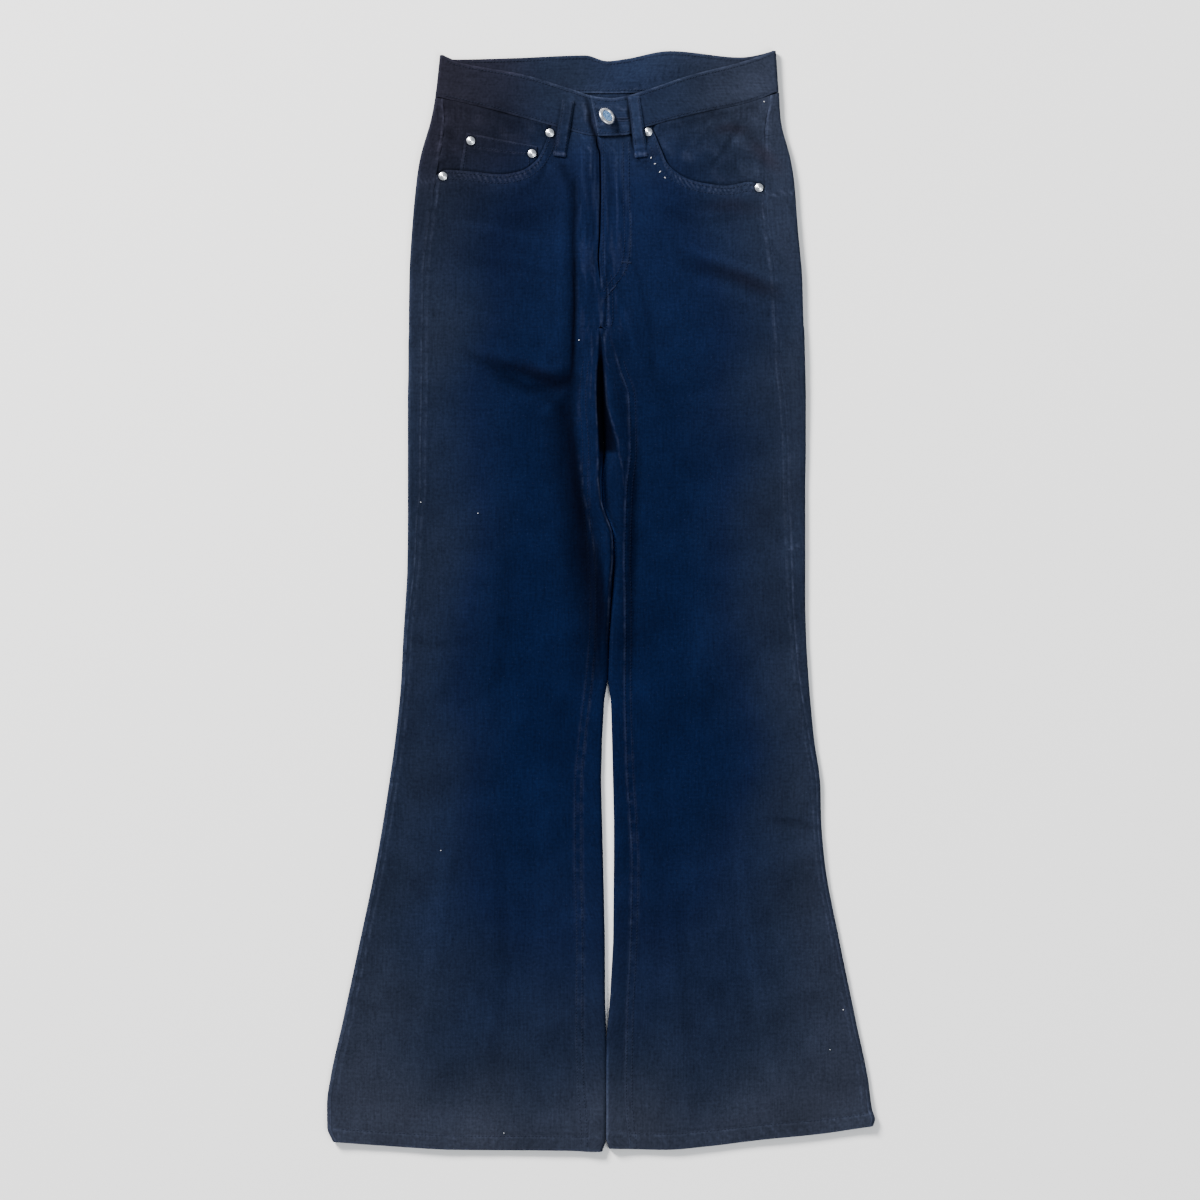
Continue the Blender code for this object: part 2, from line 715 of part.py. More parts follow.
def build_front_panel(side, material):
    """Front panel between the centre seam or inseam and the outseam, cut away along the pocket."""
    levels = leg_levels(side)
    share = np.array(FRONT_STEPS)
    inner, outer = front_edges(side, np.full(share.shape, levels[0]))
    out = inner + (outer - inner) * share
    for _ in range(EVEN_OUT_TURNS):
        top = front_top(side, out)
        inner, outer = front_edges(side, top)
        out = inner + (outer - inner) * share
    top[-1] = levels[0]
    part = np.clip((levels - levels[0]) / (BLEND - levels[0]), 0.0, 1.0)[:, None]
    level = np.where(levels[:, None] <= BLEND, top + (BLEND - top) * part, levels[:, None])
    inner, outer = front_edges(side, level)
    out = inner + (outer - inner) * share
    high = front_height(side, out, level)
    level = np.where(levels[:, None] > BLEND, hem_warp(side, out, levels[:, None]), level)
    points = spot(side * out, level, high)
    if side == RIGHT:
        points = points[:, ::-1]
    return sheet("front_panel_" + SIDE_NAMES[side], points, material, CLOTH, hem_rows=HEM_ROWS)


def shares(counts):
    """Even shares across a patch, as a row, and down it, as a column."""
    across, along = counts
    return np.linspace(0.0, 1.0, across)[None, :], np.linspace(0.0, 1.0, along)[:, None]


def build_facing(side, material):
    """Pocket facing that shows above the mouth and runs on under the front panel."""
    mouth_start, mouth_end = MOUTHS[side][0][0], MOUTHS[side][-1][0]
    start = mouth_start - FACING_UNDERLAP
    share, part = shares(FACING_GRID)
    out = start + (mouth_end - start) * share + 0.0 * part
    for _ in range(EVEN_OUT_TURNS):
        top = curve(BAND_BOTTOM, side * out[:1]) + GAP
        low = mouth(side, np.maximum(out[-1:], mouth_start)) + FACING_UNDERLAP
        level = top + (low - top) * part
        _, edge = front_edges(side, level)
        out = start + (edge - start) * share
    high = top_height(side, out, level) - CLOTH - GAP
    points = spot(side * out, level, high)
    if side == RIGHT:
        points = points[:, ::-1]
    return sheet("pocket_facing_" + SIDE_NAMES[side], points, material, FACING_CLOTH)


def build_coin_pocket(material):
    """Coin pocket: a patch on the right facing whose lower end runs under the front panel."""
    share, part = shares(COIN_GRID)
    top_out = COIN_TOP_INNER[0] + (COIN_TOP_OUTER[0] - COIN_TOP_INNER[0]) * share
    low_out = COIN_LOW_INNER + (COIN_LOW_OUTER - COIN_LOW_INNER) * share
    top = COIN_TOP_INNER[1] + (COIN_TOP_OUTER[1] - COIN_TOP_INNER[1]) * share
    low = mouth(RIGHT, low_out) + COIN_UNDERLAP
    out = top_out + (low_out - top_out) * part
    level = top + (low - top) * part
    high = top_height(RIGHT, out, level) - CLOTH + FACING_CLOTH
    return sheet("coin_pocket", spot(-out, level, high)[:, ::-1], material, FACING_CLOTH)


def build_fly_facing(material):
    """Facing under the left front along the fly, sewn on by the curved line of stitching."""
    across, along = shares(FLY_FACING_GRID)
    width = FLY_FACING_WIDTH - FLY_FACING_TAPER * smooth_step(along, FLY_FACING_TAPER_FROM, 1.0)
    x = FLY_FACING_START + width * across
    top = curve(BAND_BOTTOM, x) + GAP
    level = top + (FLY_END - top) * along
    high = stack("height", level) - CLOTH - GAP
    return sheet("fly_facing", spot(x, level, high), material, FACING_CLOTH)


def build_waistband(material):
    """One folded strip: from its end under the tab along the right front, round the side, across the
    back, round the other side and along the left front to the tab that lies over the first end."""
    part = np.array(BAND_SHARES)
    angle = np.linspace(0.0, pi, ARC_CELLS + 1)

    def front(side, columns):
        x = np.tile(np.array(columns, dtype=float), (part.size, 1))
        if side == LEFT:
            x[:, -1] = TAB_END_TOP + (TAB_END_BOTTOM - TAB_END_TOP) * part
        top, low = curve(BAND_TOP, x), curve(BAND_BOTTOM, x)
        level = top + (low - top) * part[:, None]
        return x, level, band_height(side, x, level)

    def side_fold(side):
        top = curve(BAND_TOP, side * BAND_SIDE)
        low = curve(BAND_BOTTOM, side * BAND_SIDE)
        level = np.broadcast_to((top + (low - top) * part)[:, None], (part.size, angle.size))
        edge = leg(side, "outer", level)
        high = band_height(side, side * (edge - FOLD_REACH), level)
        middle, half = (high + SEAT_LIFT) / 2, (high - SEAT_LIFT) / 2
        turn = angle if side == RIGHT else angle[::-1]
        out = edge - FOLD_REACH + FOLD_REACH * np.sin(turn)
        return side * out, level, middle + half * np.cos(turn)

    def back():
        x = np.tile(np.linspace(*BAND_BACK_ENDS, BAND_BACK_COLUMNS), (part.size, 1))
        top, low = curve(BACK_TOP, x), curve(BACK_BOTTOM, x)
        return x, top + (low - top) * part[:, None], np.full(x.shape, SEAT_LIFT)

    stretches = (
        front(RIGHT, BAND_RIGHT_COLUMNS),
        side_fold(RIGHT),
        back(),
        side_fold(LEFT),
        front(LEFT, BAND_LEFT_COLUMNS),
    )
    x, level, high = (np.concatenate([piece[n] for piece in stretches], axis=1) for n in range(3))
    return sheet("waistband", spot(x, level, high)[:, ::-1], material, BAND_CLOTH)


def build_front_loop(name, side, material):
    """Belt loop over the waistband, sewn down at its top and on the front panel."""
    (top_x, top_down), (low_x, low_down) = FRONT_LOOPS[name]
    along = np.linspace(0.0, 1.0, LOOP_ROWS)[:, None]
    across = np.array((-0.5, 0.0, 0.5))[None, :] * LOOP_WIDTH
    run = np.array((low_x - top_x, low_down - top_down))
    run = run / np.hypot(*run)
    x = top_x + (low_x - top_x) * along + across * run[1]
    down = top_down + (low_down - top_down) * along - across * run[0]
    on_band = 1.0 - smooth_step(down - curve(BAND_BOTTOM, x), *LOOP_LEAVES_BAND)
    panel = front_height(side, side * x, down)
    seat = np.maximum(panel, panel + (band_height(side, x, down) - panel) * on_band)
    bow = LOOP_BOW * np.sin(pi * np.clip(along / LOOP_BOW_SHARE, 0.0, 1.0))
    high = seat.max(axis=1, keepdims=True) + GAP + LOOP_CLOTH + bow
    return sheet("belt_loop_front_" + name, spot(x, down, high), material, LOOP_CLOTH)


def build_back_loop(name, x, material):
    """Belt loop under the waistband at the back, flat on the surface."""
    bpy.ops.mesh.primitive_cube_add(size=1.0)
    loop = bpy.context.active_object
    loop.name = "belt_loop_back_" + name
    loop.data.name = loop.name
    for old in list(loop.users_collection):
        old.objects.unlink(loop)
    bpy.data.collections["flared_jeans"].objects.link(loop)
    loop.data.materials.append(material)
    size = Vector((LOOP_WIDTH, BACK_LOOP_BOTTOM - BACK_LOOP_TOP, SEAT_LIFT - GAP)) * MM
    loop.data.transform(Matrix.Diagonal(size.to_4d()))
    loop.location = spot(x, (BACK_LOOP_TOP + BACK_LOOP_BOTTOM) / 2, (SEAT_LIFT - GAP) / 2)
    edge = loop.modifiers.new("edge", "BEVEL")
    edge.width = LOOP_EDGE * MM
    edge.segments = 1
    return loop


def build_back_pocket(side, material):
    """Back pocket: a flat five-sided patch under the back panel."""
    inner, outer = POCKET_INNER_OUT, POCKET_INNER_OUT + POCKET_TOP_WIDTH
    taper = (POCKET_TOP_WIDTH - POCKET_LOW_WIDTH) / 2
    corners = (
        (inner, POCKET_TOP),
        (outer, POCKET_TOP - POCKET_LEAN),
        (outer - taper, POCKET_TOP + POCKET_SIDE - POCKET_LEAN),
        ((inner + outer) / 2, POCKET_TOP + POCKET_POINT),
        (inner + taper, POCKET_TOP + POCKET_SIDE),
    )
    outline = bpy.data.curves.new("back_pocket_" + SIDE_NAMES[side], "CURVE")
    outline.dimensions = "2D"
    outline.fill_mode = "BOTH"
    outline.extrude = (SEAT_LIFT - GAP) / 2 * MM
    path = outline.splines.new("POLY")
    path.points.add(len(corners) - 1)
    for point, (out, down) in zip(path.points, corners):
        place = spot(side * out, down, 0.0)
        point.co = (place[0], place[1], 0.0, 1.0)
    path.use_cyclic_u = True
    pocket = add_object(outline.name, outline, material)
    pocket.location.z = (SEAT_LIFT - GAP) / 2 * MM
    return pocket


def turned(name, profile, steps, material):
    """A turned piece: a profile from the top of the axis, down its outer side, to the axis again."""
    mesh = bpy.data.meshes.new(name)
    points = [(radius * MM, 0.0, height * MM) for radius, height in profile]
    mesh.from_pydata(points, [(n, n + 1) for n in range(len(points) - 1)], [])
    thing = add_object(name, mesh, material)
    screw = thing.modifiers.new("turn", "SCREW")
    screw.steps = steps
    screw.render_steps = steps
    screw.use_merge_vertices = True
    screw.merge_threshold = 0.00001
    screw.use_smooth_shade = True
    return thing


def build_button(material):
    """Button with a raised ring and a plain dished middle, tipped over on its shank.

    Its lowest place, on the rim or the shank's end, lies the gap above the tab.
    """
    button = turned("button", BUTTON_PROFILE, BUTTON_STEPS, material)
    seat = float(band_height(LEFT, BUTTON_X, BUTTON_DOWN)) + GAP
    tilt = radians(BUTTON_TILT)
    drop = max(radius * sin(tilt) - height * cos(tilt) for radius, height in BUTTON_PROFILE)
    lean_x, lean_y = BUTTON_LEAN
    button.location = spot(BUTTON_X, BUTTON_DOWN, seat + drop)
    button.rotation_euler = Matrix.Rotation(tilt, 3, Vector((-lean_y, lean_x, 0.0))).to_euler()
    return button


def build_rivet(name, x, down, material):
    """A domed rivet."""
    rivet = turned("rivet_" + name, RIVET_PROFILE, RIVET_STEPS, material)
    rivet.location = spot(x, down, rivet_seat(name, x, down))
    return rivet


def rivet_seat(name, x, down):
    """The highest cloth under a rivet, plus the gap."""
    side = RIGHT if x < 0 else LEFT
    turn = np.linspace(0.0, 2 * pi, RIVET_STEPS)
    reach_x = x + RIVET_RADIUS * np.cos(turn)
    reach_down = down + RIVET_RADIUS * np.sin(turn)
    if name.startswith("coin"):
        return float(np.max(top_height(side, side * reach_x, reach_down))) - CLOTH + FACING_CLOTH + GAP
    return float(np.max(front_height(side, side * reach_x, reach_down))) + GAP


def main():
    """Builds every piece in the garment's collection."""
    for thing in list(bpy.data.objects):
        bpy.data.objects.remove(thing)
    collection = bpy.data.collections.new("flared_jeans")
    bpy.context.scene.collection.children.link(collection)
    denim = principled("denim", INDIGO, 0.85)
    dark_denim = principled("denim_facing", DARK_INDIGO, 0.88)
    steel = principled("steel", STEEL, 0.3, metallic=1.0)

    build_waistband(denim)
    for side in (RIGHT, LEFT):
        build_yoke(side, denim)
        build_back_panel(side, denim)
        build_front_panel(side, denim)
        build_facing(side, dark_denim)
        build_back_pocket(side, denim)
    build_fly_facing(dark_denim)
    build_coin_pocket(denim)
    build_front_loop("right", RIGHT, denim)
    build_front_loop("left", LEFT, denim)
    for name, x in BACK_LOOPS.items():
        build_back_loop(name, x, denim)
    build_button(steel)
    for name, (x, down) in RIVETS.items():
        build_rivet(name, x, down, steel)


main()
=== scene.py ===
"""Looks of the flared jeans: cloth, stitching, metal and studio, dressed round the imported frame.

Left and right are the wearer's, so the right leg lies on the -X side. Sizes are in millimetres, and
only spot() turns them into the frame's metres. "Down" is the distance below the highest point of the
waistband, "out" the distance from the centre line towards a leg's own side, and "level" the nominal
down of a row before the hem's curve moves it. "Away" is a distance from a line or an edge.
"""

import logging
from collections.abc import Iterator
from dataclasses import dataclass, field
from enum import Enum, IntEnum
from math import cos, pi, radians, sin

import bpy
import numpy as np
from numpy.typing import NDArray
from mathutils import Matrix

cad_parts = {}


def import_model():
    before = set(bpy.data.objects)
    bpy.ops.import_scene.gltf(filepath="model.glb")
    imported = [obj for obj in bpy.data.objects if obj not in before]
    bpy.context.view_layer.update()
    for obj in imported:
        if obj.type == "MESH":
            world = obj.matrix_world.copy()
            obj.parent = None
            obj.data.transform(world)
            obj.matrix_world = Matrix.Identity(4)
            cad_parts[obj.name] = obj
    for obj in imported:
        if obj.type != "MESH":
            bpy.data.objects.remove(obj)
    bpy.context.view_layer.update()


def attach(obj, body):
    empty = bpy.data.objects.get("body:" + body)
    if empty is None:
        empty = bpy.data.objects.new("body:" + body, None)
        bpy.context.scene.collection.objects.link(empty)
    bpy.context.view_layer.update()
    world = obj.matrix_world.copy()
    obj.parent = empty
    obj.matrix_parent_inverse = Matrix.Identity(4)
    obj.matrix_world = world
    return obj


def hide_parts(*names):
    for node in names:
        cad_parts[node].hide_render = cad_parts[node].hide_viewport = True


Array = NDArray[np.float64]
Value = float | Array
Material = bpy.types.Material
Socket = bpy.types.NodeSocket
log = logging.getLogger("jeans")

MM = 0.001
HALF_LENGTH = 522.5

# Layers of cloth and the gaps between them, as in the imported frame
CLOTH = 1.2
BAND_CLOTH = 1.9
HEM_CLOTH = 2.0
FACING_CLOTH = 1.0
LOOP_CLOTH = 1.5
GAP = 0.3
HALF_GAP = 0.03
RIM = 0.12
SEAT_LIFT = 1.5
HEM_DEPTH = 14.0
HEM_ROWS = 6
FOLD_REACH = 3.2
SWELL_WIDTH = 26.0

# Levels: where rows leave the pockets' curve, the fly facing ends, the fly's edge fades into the
# centre seam, the crotch, where the two thighs part, and where rows start to follow the hem
BLEND = 175.0
FLY_END = 200.0
FLY_FOOT = (206.0, 222.0)
CROTCH = 264.0
FORK = 380.0
HEM_BLEND = 900.0

# The rivets' x and down
RIVETS = {
    "coin_outer": (-123.5, 85.5), "coin_inner": (-65.5, 97.5), "right_inner": (-48.5, 78.0),
    "right_outer": (-150.0, 119.0), "left_inner": (44.7, 77.0), "left_outer": (150.0, 130.0),
}


class Side(IntEnum):
    """Which half of the garment: the sign of its X."""

    RIGHT = -1
    LEFT = 1

    @property
    def word(self) -> str:
        """The side's name in the names of pieces."""
        return self.name.lower()


# ------------------------------------------------------------------------------ curves and fields


def smooth_step(value: Value, low: float, high: float) -> Array:
    """0 below low, 1 above high, and 3t^2 - 2t^3 between them."""
    part = np.clip((value - low) / (high - low), 0.0, 1.0)
    return part * part * (3.0 - 2.0 * part)


def fade(value: Value, low: float, high: float) -> Array:
    """1 below low and 0 above high."""
    return 1.0 - smooth_step(value, low, high)


def between(value: Value, rise: tuple[float, float], fall: tuple[float, float]) -> Array:
    """1 between two edges: it rises over the first pair of values and falls over the second."""
    return smooth_step(value, *rise) * fade(value, *fall)


def bump(distance: Value) -> Array:
    """A soft cross-section: half of 1 + cos(pi d), so 1 at distance 0 and 0 from distance 1 on."""
    return 0.5 + 0.5 * np.cos(pi * np.clip(np.abs(distance), 0.0, 1.0))


def welts(away: Value, *ridges: tuple[float, float, float]) -> Array:
    """The sum of bumps beside a line, each given by its height, place and half width."""
    return sum(height * bump((away - place) / half_width) for height, place, half_width in ridges)


def edge_fall(away: Value, reach: float, fall: float) -> Array:
    """A quarter circle's fall: all of it at an edge, and none from the given reach on."""
    part = np.clip(away / reach, 0.0, 1.0)
    return fall * (1.0 - np.sqrt(1.0 - (1.0 - part) ** 2))


def ripple(run: Value, pitch: float, sway: float = 0.0, bend: float = 1.0) -> Array:
    """Puckers along a run: the sine of 2 pi over the pitch, with the run swayed by a slower sine."""
    return np.sin(2.0 * pi * (run + sway * np.sin(run / bend)) / pitch)


def waves(x: Value, down: Value, seed: int, length: float, count: int = 14) -> Array:
    """Soft uneven ground: a sum of plane sine waves of seeded direction, phase and length.

    Args:
        x: Places across, in millimetres.
        down: Places down the garment.
        seed: Seed of the waves.
        length: Typical wavelength; each wave's own is 0.6 to 1.8 times it.
        count: Number of waves.

    Returns:
        The sum, scaled to a standard deviation of 1.
    """
    random = np.random.default_rng(seed)
    angles = random.uniform(0.0, 2.0 * pi, count)
    lengths = length * random.uniform(0.6, 1.8, count)
    phases = random.uniform(0.0, 2.0 * pi, count)
    total = np.zeros(np.broadcast(x, down).shape)
    for angle, wavelength, phase in zip(angles, lengths, phases):
        total += np.sin(2.0 * pi * (x * cos(angle) + down * sin(angle)) / wavelength + phase)
    return total / np.sqrt(count / 2.0)


def clipped_waves(x: Value, down: Value, seed: int, length: float, most: float = 1.0) -> Array:
    """Soft uneven ground, with its highest and lowest places cut off."""
    return np.clip(waves(x, down, seed, length), -most, most)


def spread(start: Array, end: Array, count: int) -> Array:
    """Evenly spaced columns from start to end, as count cells on a new last axis."""
    part = np.linspace(0.0, 1.0, count + 1)
    return start[..., None] * (1.0 - part) + end[..., None] * part


def joined(*parts: Array) -> Array:
    """Joins stretches of columns that share their end columns."""
    return np.concatenate([parts[0]] + [part[..., 1:] for part in parts[1:]], axis=-1)


def line(x: Value, down: Value, high: Value) -> Array:
    """Places as x, down and height in millimetres, on a last axis."""
    return np.stack(np.broadcast_arrays(x, down, high), axis=-1)


def spot(x: Value, down: Value, high: Value) -> Array:
    """Points of the frame in metres, from x, down and height in millimetres."""
    return line(x, HALF_LENGTH - down, high) * MM


def girth(out: Array, high: Array) -> Array:
    """Length round the section from its first column, for each row."""
    steps = np.hypot(np.diff(out, axis=1), np.diff(high, axis=1))
    return np.concatenate((np.zeros((len(out), 1)), np.cumsum(steps, axis=1)), axis=1)


@dataclass(frozen=True)
class Curve:
    """A value that changes with a place, from points of place and value."""

    points: tuple[tuple[float, float], ...]

    def line(self, at: Value) -> Array:
        """The value with straight stretches between the points."""
        return np.interp(at, *np.array(self.points, dtype=float).T)

    def __call__(self, at: Value) -> Array:
        """The value on a cubic through the points that never overshoots them.

        The slope at a point is the harmonic mean of its two neighbours' rises, and level where the
        values turn.

        Args:
            at: Places along the curve.

        Returns:
            The values.
        """
        knots, values = np.array(self.points, dtype=float).T
        rises = np.diff(values) / np.diff(knots)
        before, after = rises[:-1], rises[1:]
        same_way = before * after > 0.0
        slopes = 2.0 * before * after / np.where(same_way, before + after, 1.0)
        slopes = np.concatenate((rises[:1], np.where(same_way, slopes, 0.0), rises[-1:]))
        place = np.clip(at, knots[0], knots[-1])
        low = np.clip(np.searchsorted(knots, place) - 1, 0, len(knots) - 2)
        span = knots[low + 1] - knots[low]
        part = (place - knots[low]) / span
        rest = 1.0 - part
        return (
            values[low] * rest * rest * (1.0 + 2.0 * part)
            + values[low + 1] * part * part * (1.0 + 2.0 * rest)
            + slopes[low] * span * part * rest * rest
            - slopes[low + 1] * span * part * part * rest
        )


@dataclass(frozen=True)
class Table:
    """Rows of numbers with named columns, read as curves over the first column."""

    columns: tuple[str, ...]
    rows: tuple[tuple[float, ...], ...]

    def __getitem__(self, name: str) -> Curve:
        """The curve of one column."""
        number = self.columns.index(name)
        return Curve(tuple((row[0], row[number]) for row in self.rows))


@dataclass(frozen=True)
class Trail:
    """A line of straight stretches through points of x and down."""

    x: Array
    down: Array

    @property
    def runs(self) -> Array:
        """Length along the line at each point."""
        return np.concatenate(((0.0,), np.cumsum(np.hypot(np.diff(self.x), np.diff(self.down)))))

    def measure(self, x: Value, down: Value) -> tuple[Array, Array]:
        """Distance from the line and the run along it, of each place.

        Each place takes its nearest stretch: its foot is the clipped projection on that stretch, and
        the distance is positive on the -X side of a line that runs down the garment.

        Args:
            x: Places across.
            down: Places down the garment.

        Returns:
            The signed distances and the runs.
        """
        x, down = np.broadcast_arrays(x, down)
        away, run = np.full(x.shape, np.inf), np.zeros(x.shape)
        steps = zip(self.x, self.down, np.diff(self.x), np.diff(self.down), self.runs)
        for x0, down0, step_x, step_down, start in steps:
            length = np.hypot(step_x, step_down)
            along = np.clip(((x - x0) * step_x + (down - down0) * step_down) / length, 0.0, length)
            off_x = x - x0 - along * step_x / length
            off_down = down - down0 - along * step_down / length
            distance = np.hypot(off_x, off_down)
            turn = np.where(step_x * off_down - step_down * off_x < 0.0, -1.0, 1.0)
            nearer = distance < np.abs(away)
            away = np.where(nearer, distance * turn, away)
            run = np.where(nearer, start + along, run)
        return away, run

    def walk(self, step: float = 1.5) -> tuple[Array, Array]:
        """Evenly spaced places along the line, as x and down arrays.

        Args:
            step: Distance from place to place.

        Returns:
            The x and down arrays.
        """
        runs = self.runs
        at = np.linspace(0.0, runs[-1], max(2, int(runs[-1] / step) + 1))
        return np.interp(at, runs, self.x), np.interp(at, runs, self.down)

    def beside(self, offset: float) -> "Trail":
        """The line moved sideways by an offset, positive to the -X side of a downward line.

        Args:
            offset: How far it moves.

        Returns:
            The moved line.
        """
        x, down = self.walk(4.0)
        run_x, run_down = np.gradient(x), np.gradient(down)
        length = np.hypot(run_x, run_down)
        return Trail(x - offset * run_down / length, down + offset * run_x / length)


@dataclass(frozen=True)
class Creases:
    """Folds along trails: ridges, or troughs where the height is negative.

    A row holds the height, the half widths on the -X side and on the other side, so that one slope
    can be steep, and then x and down of each point. Across, a fold is a bump. Along, it grows from
    both ends as the square root of a half sine.
    """

    rows: tuple[tuple[float, ...], ...]

    def each(self, x: Value, down: Value) -> Iterator[Array]:
        """Height that each fold adds at each place.

        Args:
            x: Places across.
            down: Places down the garment.

        Yields:
            One array for each fold.
        """
        for height, near, far, *places in self.rows:
            trail = Trail(np.array(places[::2], dtype=float), np.array(places[1::2], dtype=float))
            away, run = trail.measure(x, down)
            taper = np.sqrt(np.sin(pi * (0.04 + 0.92 * run / trail.runs[-1])))
            yield height * bump(away / np.where(away > 0.0, near, far)) * taper

    def relief(self, x: Value, down: Value) -> Array:
        """Height that all the folds add."""
        return sum(self.each(x, down))


# ------------------------------------------------------------------------------------- the tables

LEG_COLUMNS = ("down", "outer", "inset", "inseam")
RIGHT_OUTLINE = Table(LEG_COLUMNS, (
    (0, 152.5, 7, 0), (44, 157.5, 8, 0), (65, 161.5, 13, 0), (103, 172, 18, 0), (122, 175, 18, 0),
    (170, 179.5, 16, 0), (215, 182, 14, 0), (261, 182.5, 14, 0), (264, 182.5, 14, 4.2), (280, 183, 14, 5.5),
    (300, 183, 14, 10.5), (330, 183.5, 14, 13), (380, 183.5, 13, 10), (415, 183.5, 13, 11),
    (440, 183.5, 10, 9), (490, 184, 8, 4), (520, 185.5, 6, 3), (560, 188, 4.5, 4), (600, 190, 4.5, 7.5),
    (650, 195, 4.5, 13.5), (700, 202, 4.5, 17.5), (770, 213.5, 4.5, 17.5), (845, 229, 4.5, 16),
    (920, 245, 4.5, 16.5), (975, 257, 4.5, 15), (1000, 260.3, 4.5, 13), (1022, 260, 4.5, 11.5),
    (1035.5, 254.6, 4.5, 11.5),
))
LEFT_OUTLINE = Table(LEG_COLUMNS, (
    (0, 166, 7, 0), (44, 169, 9, 0), (65, 170.5, 14, 0), (103, 180, 25, 0), (125, 183.5, 28, 0),
    (170, 187, 28, 0), (215, 191, 26, 0), (261, 192.5, 25, 0), (264, 193, 25, 4), (280, 193.5, 24, 10.5),
    (300, 194, 24, 16), (330, 194.5, 21, 25), (380, 194.5, 18, 26), (415, 194, 17, 22.5),
    (440, 194, 16, 21.5), (490, 194, 14, 20.5), (520, 194, 13, 21.5), (560, 195, 11, 21.5),
    (600, 197.5, 9.5, 21), (650, 202, 6, 22), (700, 208.5, 4.8, 24), (727, 209, 4.5, 26),
    (770, 212.5, 4.5, 28), (845, 226.5, 4.5, 26.5), (920, 242, 4.5, 23), (975, 253.5, 4.5, 22),
    (1005, 257.5, 4.5, 24.5), (1014, 260.3, 4.5, 26), (1020.5, 258.4, 4.5, 26.5),
))
THIGH_COLUMNS = ("down", "inset", "height", "width", "floor")
RIGHT_THIGH = Table(THIGH_COLUMNS, (
    (264, 2.2, 6.3, 16, 5.7), (282, 3.2, 7.8, 20, 5.9), (304, 4.5, 11, 25, 4.6), (340, 6, 14, 30, 4.6),
    (380, 5.5, 15, 34, 4.6), (430, 3.5, 15.5, 36, 6), (490, 4.5, 14, 34, 6), (545, 5.5, 11, 30, 5),
    (600, 6, 7, 25, 3.6), (640, 3.4, 5.6, 20, 2.9), (985, 3.2, 5.6, 18, 2.9), (1006, 3.6, 7, 18, 3.6),
    (1045, 3.6, 7, 18, 3.6),
))
LEFT_THIGH = Table(THIGH_COLUMNS, (
    (264, 2.4, 6.3, 16, 5.7), (282, 3.4, 7.5, 16, 5.6), (304, 5, 9.5, 18, 4.6), (340, 8, 11.5, 20, 4.6),
    (380, 13, 11.5, 20, 4.6), (407, 17, 10.5, 20, 4.4), (430, 15, 10, 20, 4.4), (452, 7, 9.5, 20, 4.2),
    (490, 5, 9, 20, 4), (545, 5, 8, 20, 3.8), (600, 6, 6.5, 20, 3.2), (640, 3.4, 5.6, 20, 2.9),
    (985, 3.2, 5.6, 18, 2.9), (1006, 3.6, 7, 18, 3.6), (1045, 3.6, 7, 18, 3.6),
))
MIDDLE = Table(("down", "x", "half_gap"), (
    (0, 0, 0.15), (264, 0, 0.15), (340, 1.5, 0.15), (380, 2.6, 0.15), (407, 0.4, 0.15), (432, 1.5, 0.15),
    (446, 7, 0.15), (458, 11.3, 0.15), (482, 12, 0.15), (520, 9.5, 0.15), (560, 7, 0.15), (598, 6.4, 0.15),
    (616, 6.2, 3.2), (654, 5.7, 4.8), (692, 5.7, 5.7), (730, 6.6, 5.7), (768, 7.1, 5.2), (845, 7.6, 4),
    (900, 6.2, 2.4), (932, 5, 0.15), (1045, 4.3, 0.15),
))
STACK = Table(("down", "height", "swell"), (
    (0, 6, 1.4), (260, 6, 1.4), (330, 5.2, 1.6), (420, 3.7, 1.9), (900, 3.5, 1.8), (1045, 3.5, 1.2),
))
HEM_RISE = 2.1
# Broad soft folds: x and down of both ends, half width, height
BROAD_FOLDS = (
    (-44, 110, -42, 330, 17, 2.2), (-118, 292, -40, 322, 18, 2.6), (-104, 258, -52, 276, 14, 1.4),
    (80, 189, 168, 221, 14, 1.1), (60, 318, 128, 300, 16, 1.2), (-150, 520, -60, 548, 20, 1),
    (60, 480, 150, 508, 20, 1), (-205, 770, -120, 960, 26, 1.4), (110, 760, 190, 970, 26, 1.4),
)

# The waistband's edges on the front and on the back: x, down
BAND_TOP = Curve((
    (-153, 4), (-139, 10), (-72, 23), (-29, 36), (-3, 44), (10, 45), (24, 43), (38, 39), (85, 23),
    (132, 11), (166, 0),
))
BAND_BOTTOM = Curve((
    (-157.5, 44), (-141, 47), (-115, 53), (-67, 65.5), (-43, 72), (-1, 81), (23, 80), (45, 72), (94, 59),
    (132, 51), (169, 39.5),
))
BACK_TOP = Curve((
    (-153, 4), (-139, 8), (-77, 6.5), (-15, 4), (6, 9.5), (23, 7.5), (66, 0), (132, 6), (166, 0),
))
BACK_BOTTOM = Curve((
    (-157.5, 44), (0, 40), (169, 39.5),
))
BAND_RISE = 0.3
UNDER_END = 30.0
TAB_END = (-10.3, -2.6)
TAB_RAMP = (33.0, 62.0)

# The pocket mouths and the hems: out, down
RIGHT_MOUTH = Curve((
    (47.5, 73), (55, 93), (62, 104.5), (76, 114), (95, 117.3), (124, 114.5), (147, 113), (158, 118.5),
))
LEFT_MOUTH = Curve((
    (48.5, 74), (56, 91), (63, 107), (74, 117), (85, 122.5), (103, 126.5), (119, 128), (141, 124.5),
    (156, 130),
))
RIGHT_HEM = Curve((
    (-10, 1044), (6, 1045), (30, 1044), (140, 1043), (195, 1040), (255, 1035.5),
))
LEFT_HEM = Curve((
    (-10, 1042), (6.7, 1042), (62, 1043), (99, 1040), (153, 1033.5), (208, 1028), (258.4, 1020.5),
))
MOUTH_LIFT = 1.3
FACING_UNDERLAP = 11.0
YOKE_SIDE = 78.0
YOKE_CENTRE = 112.0

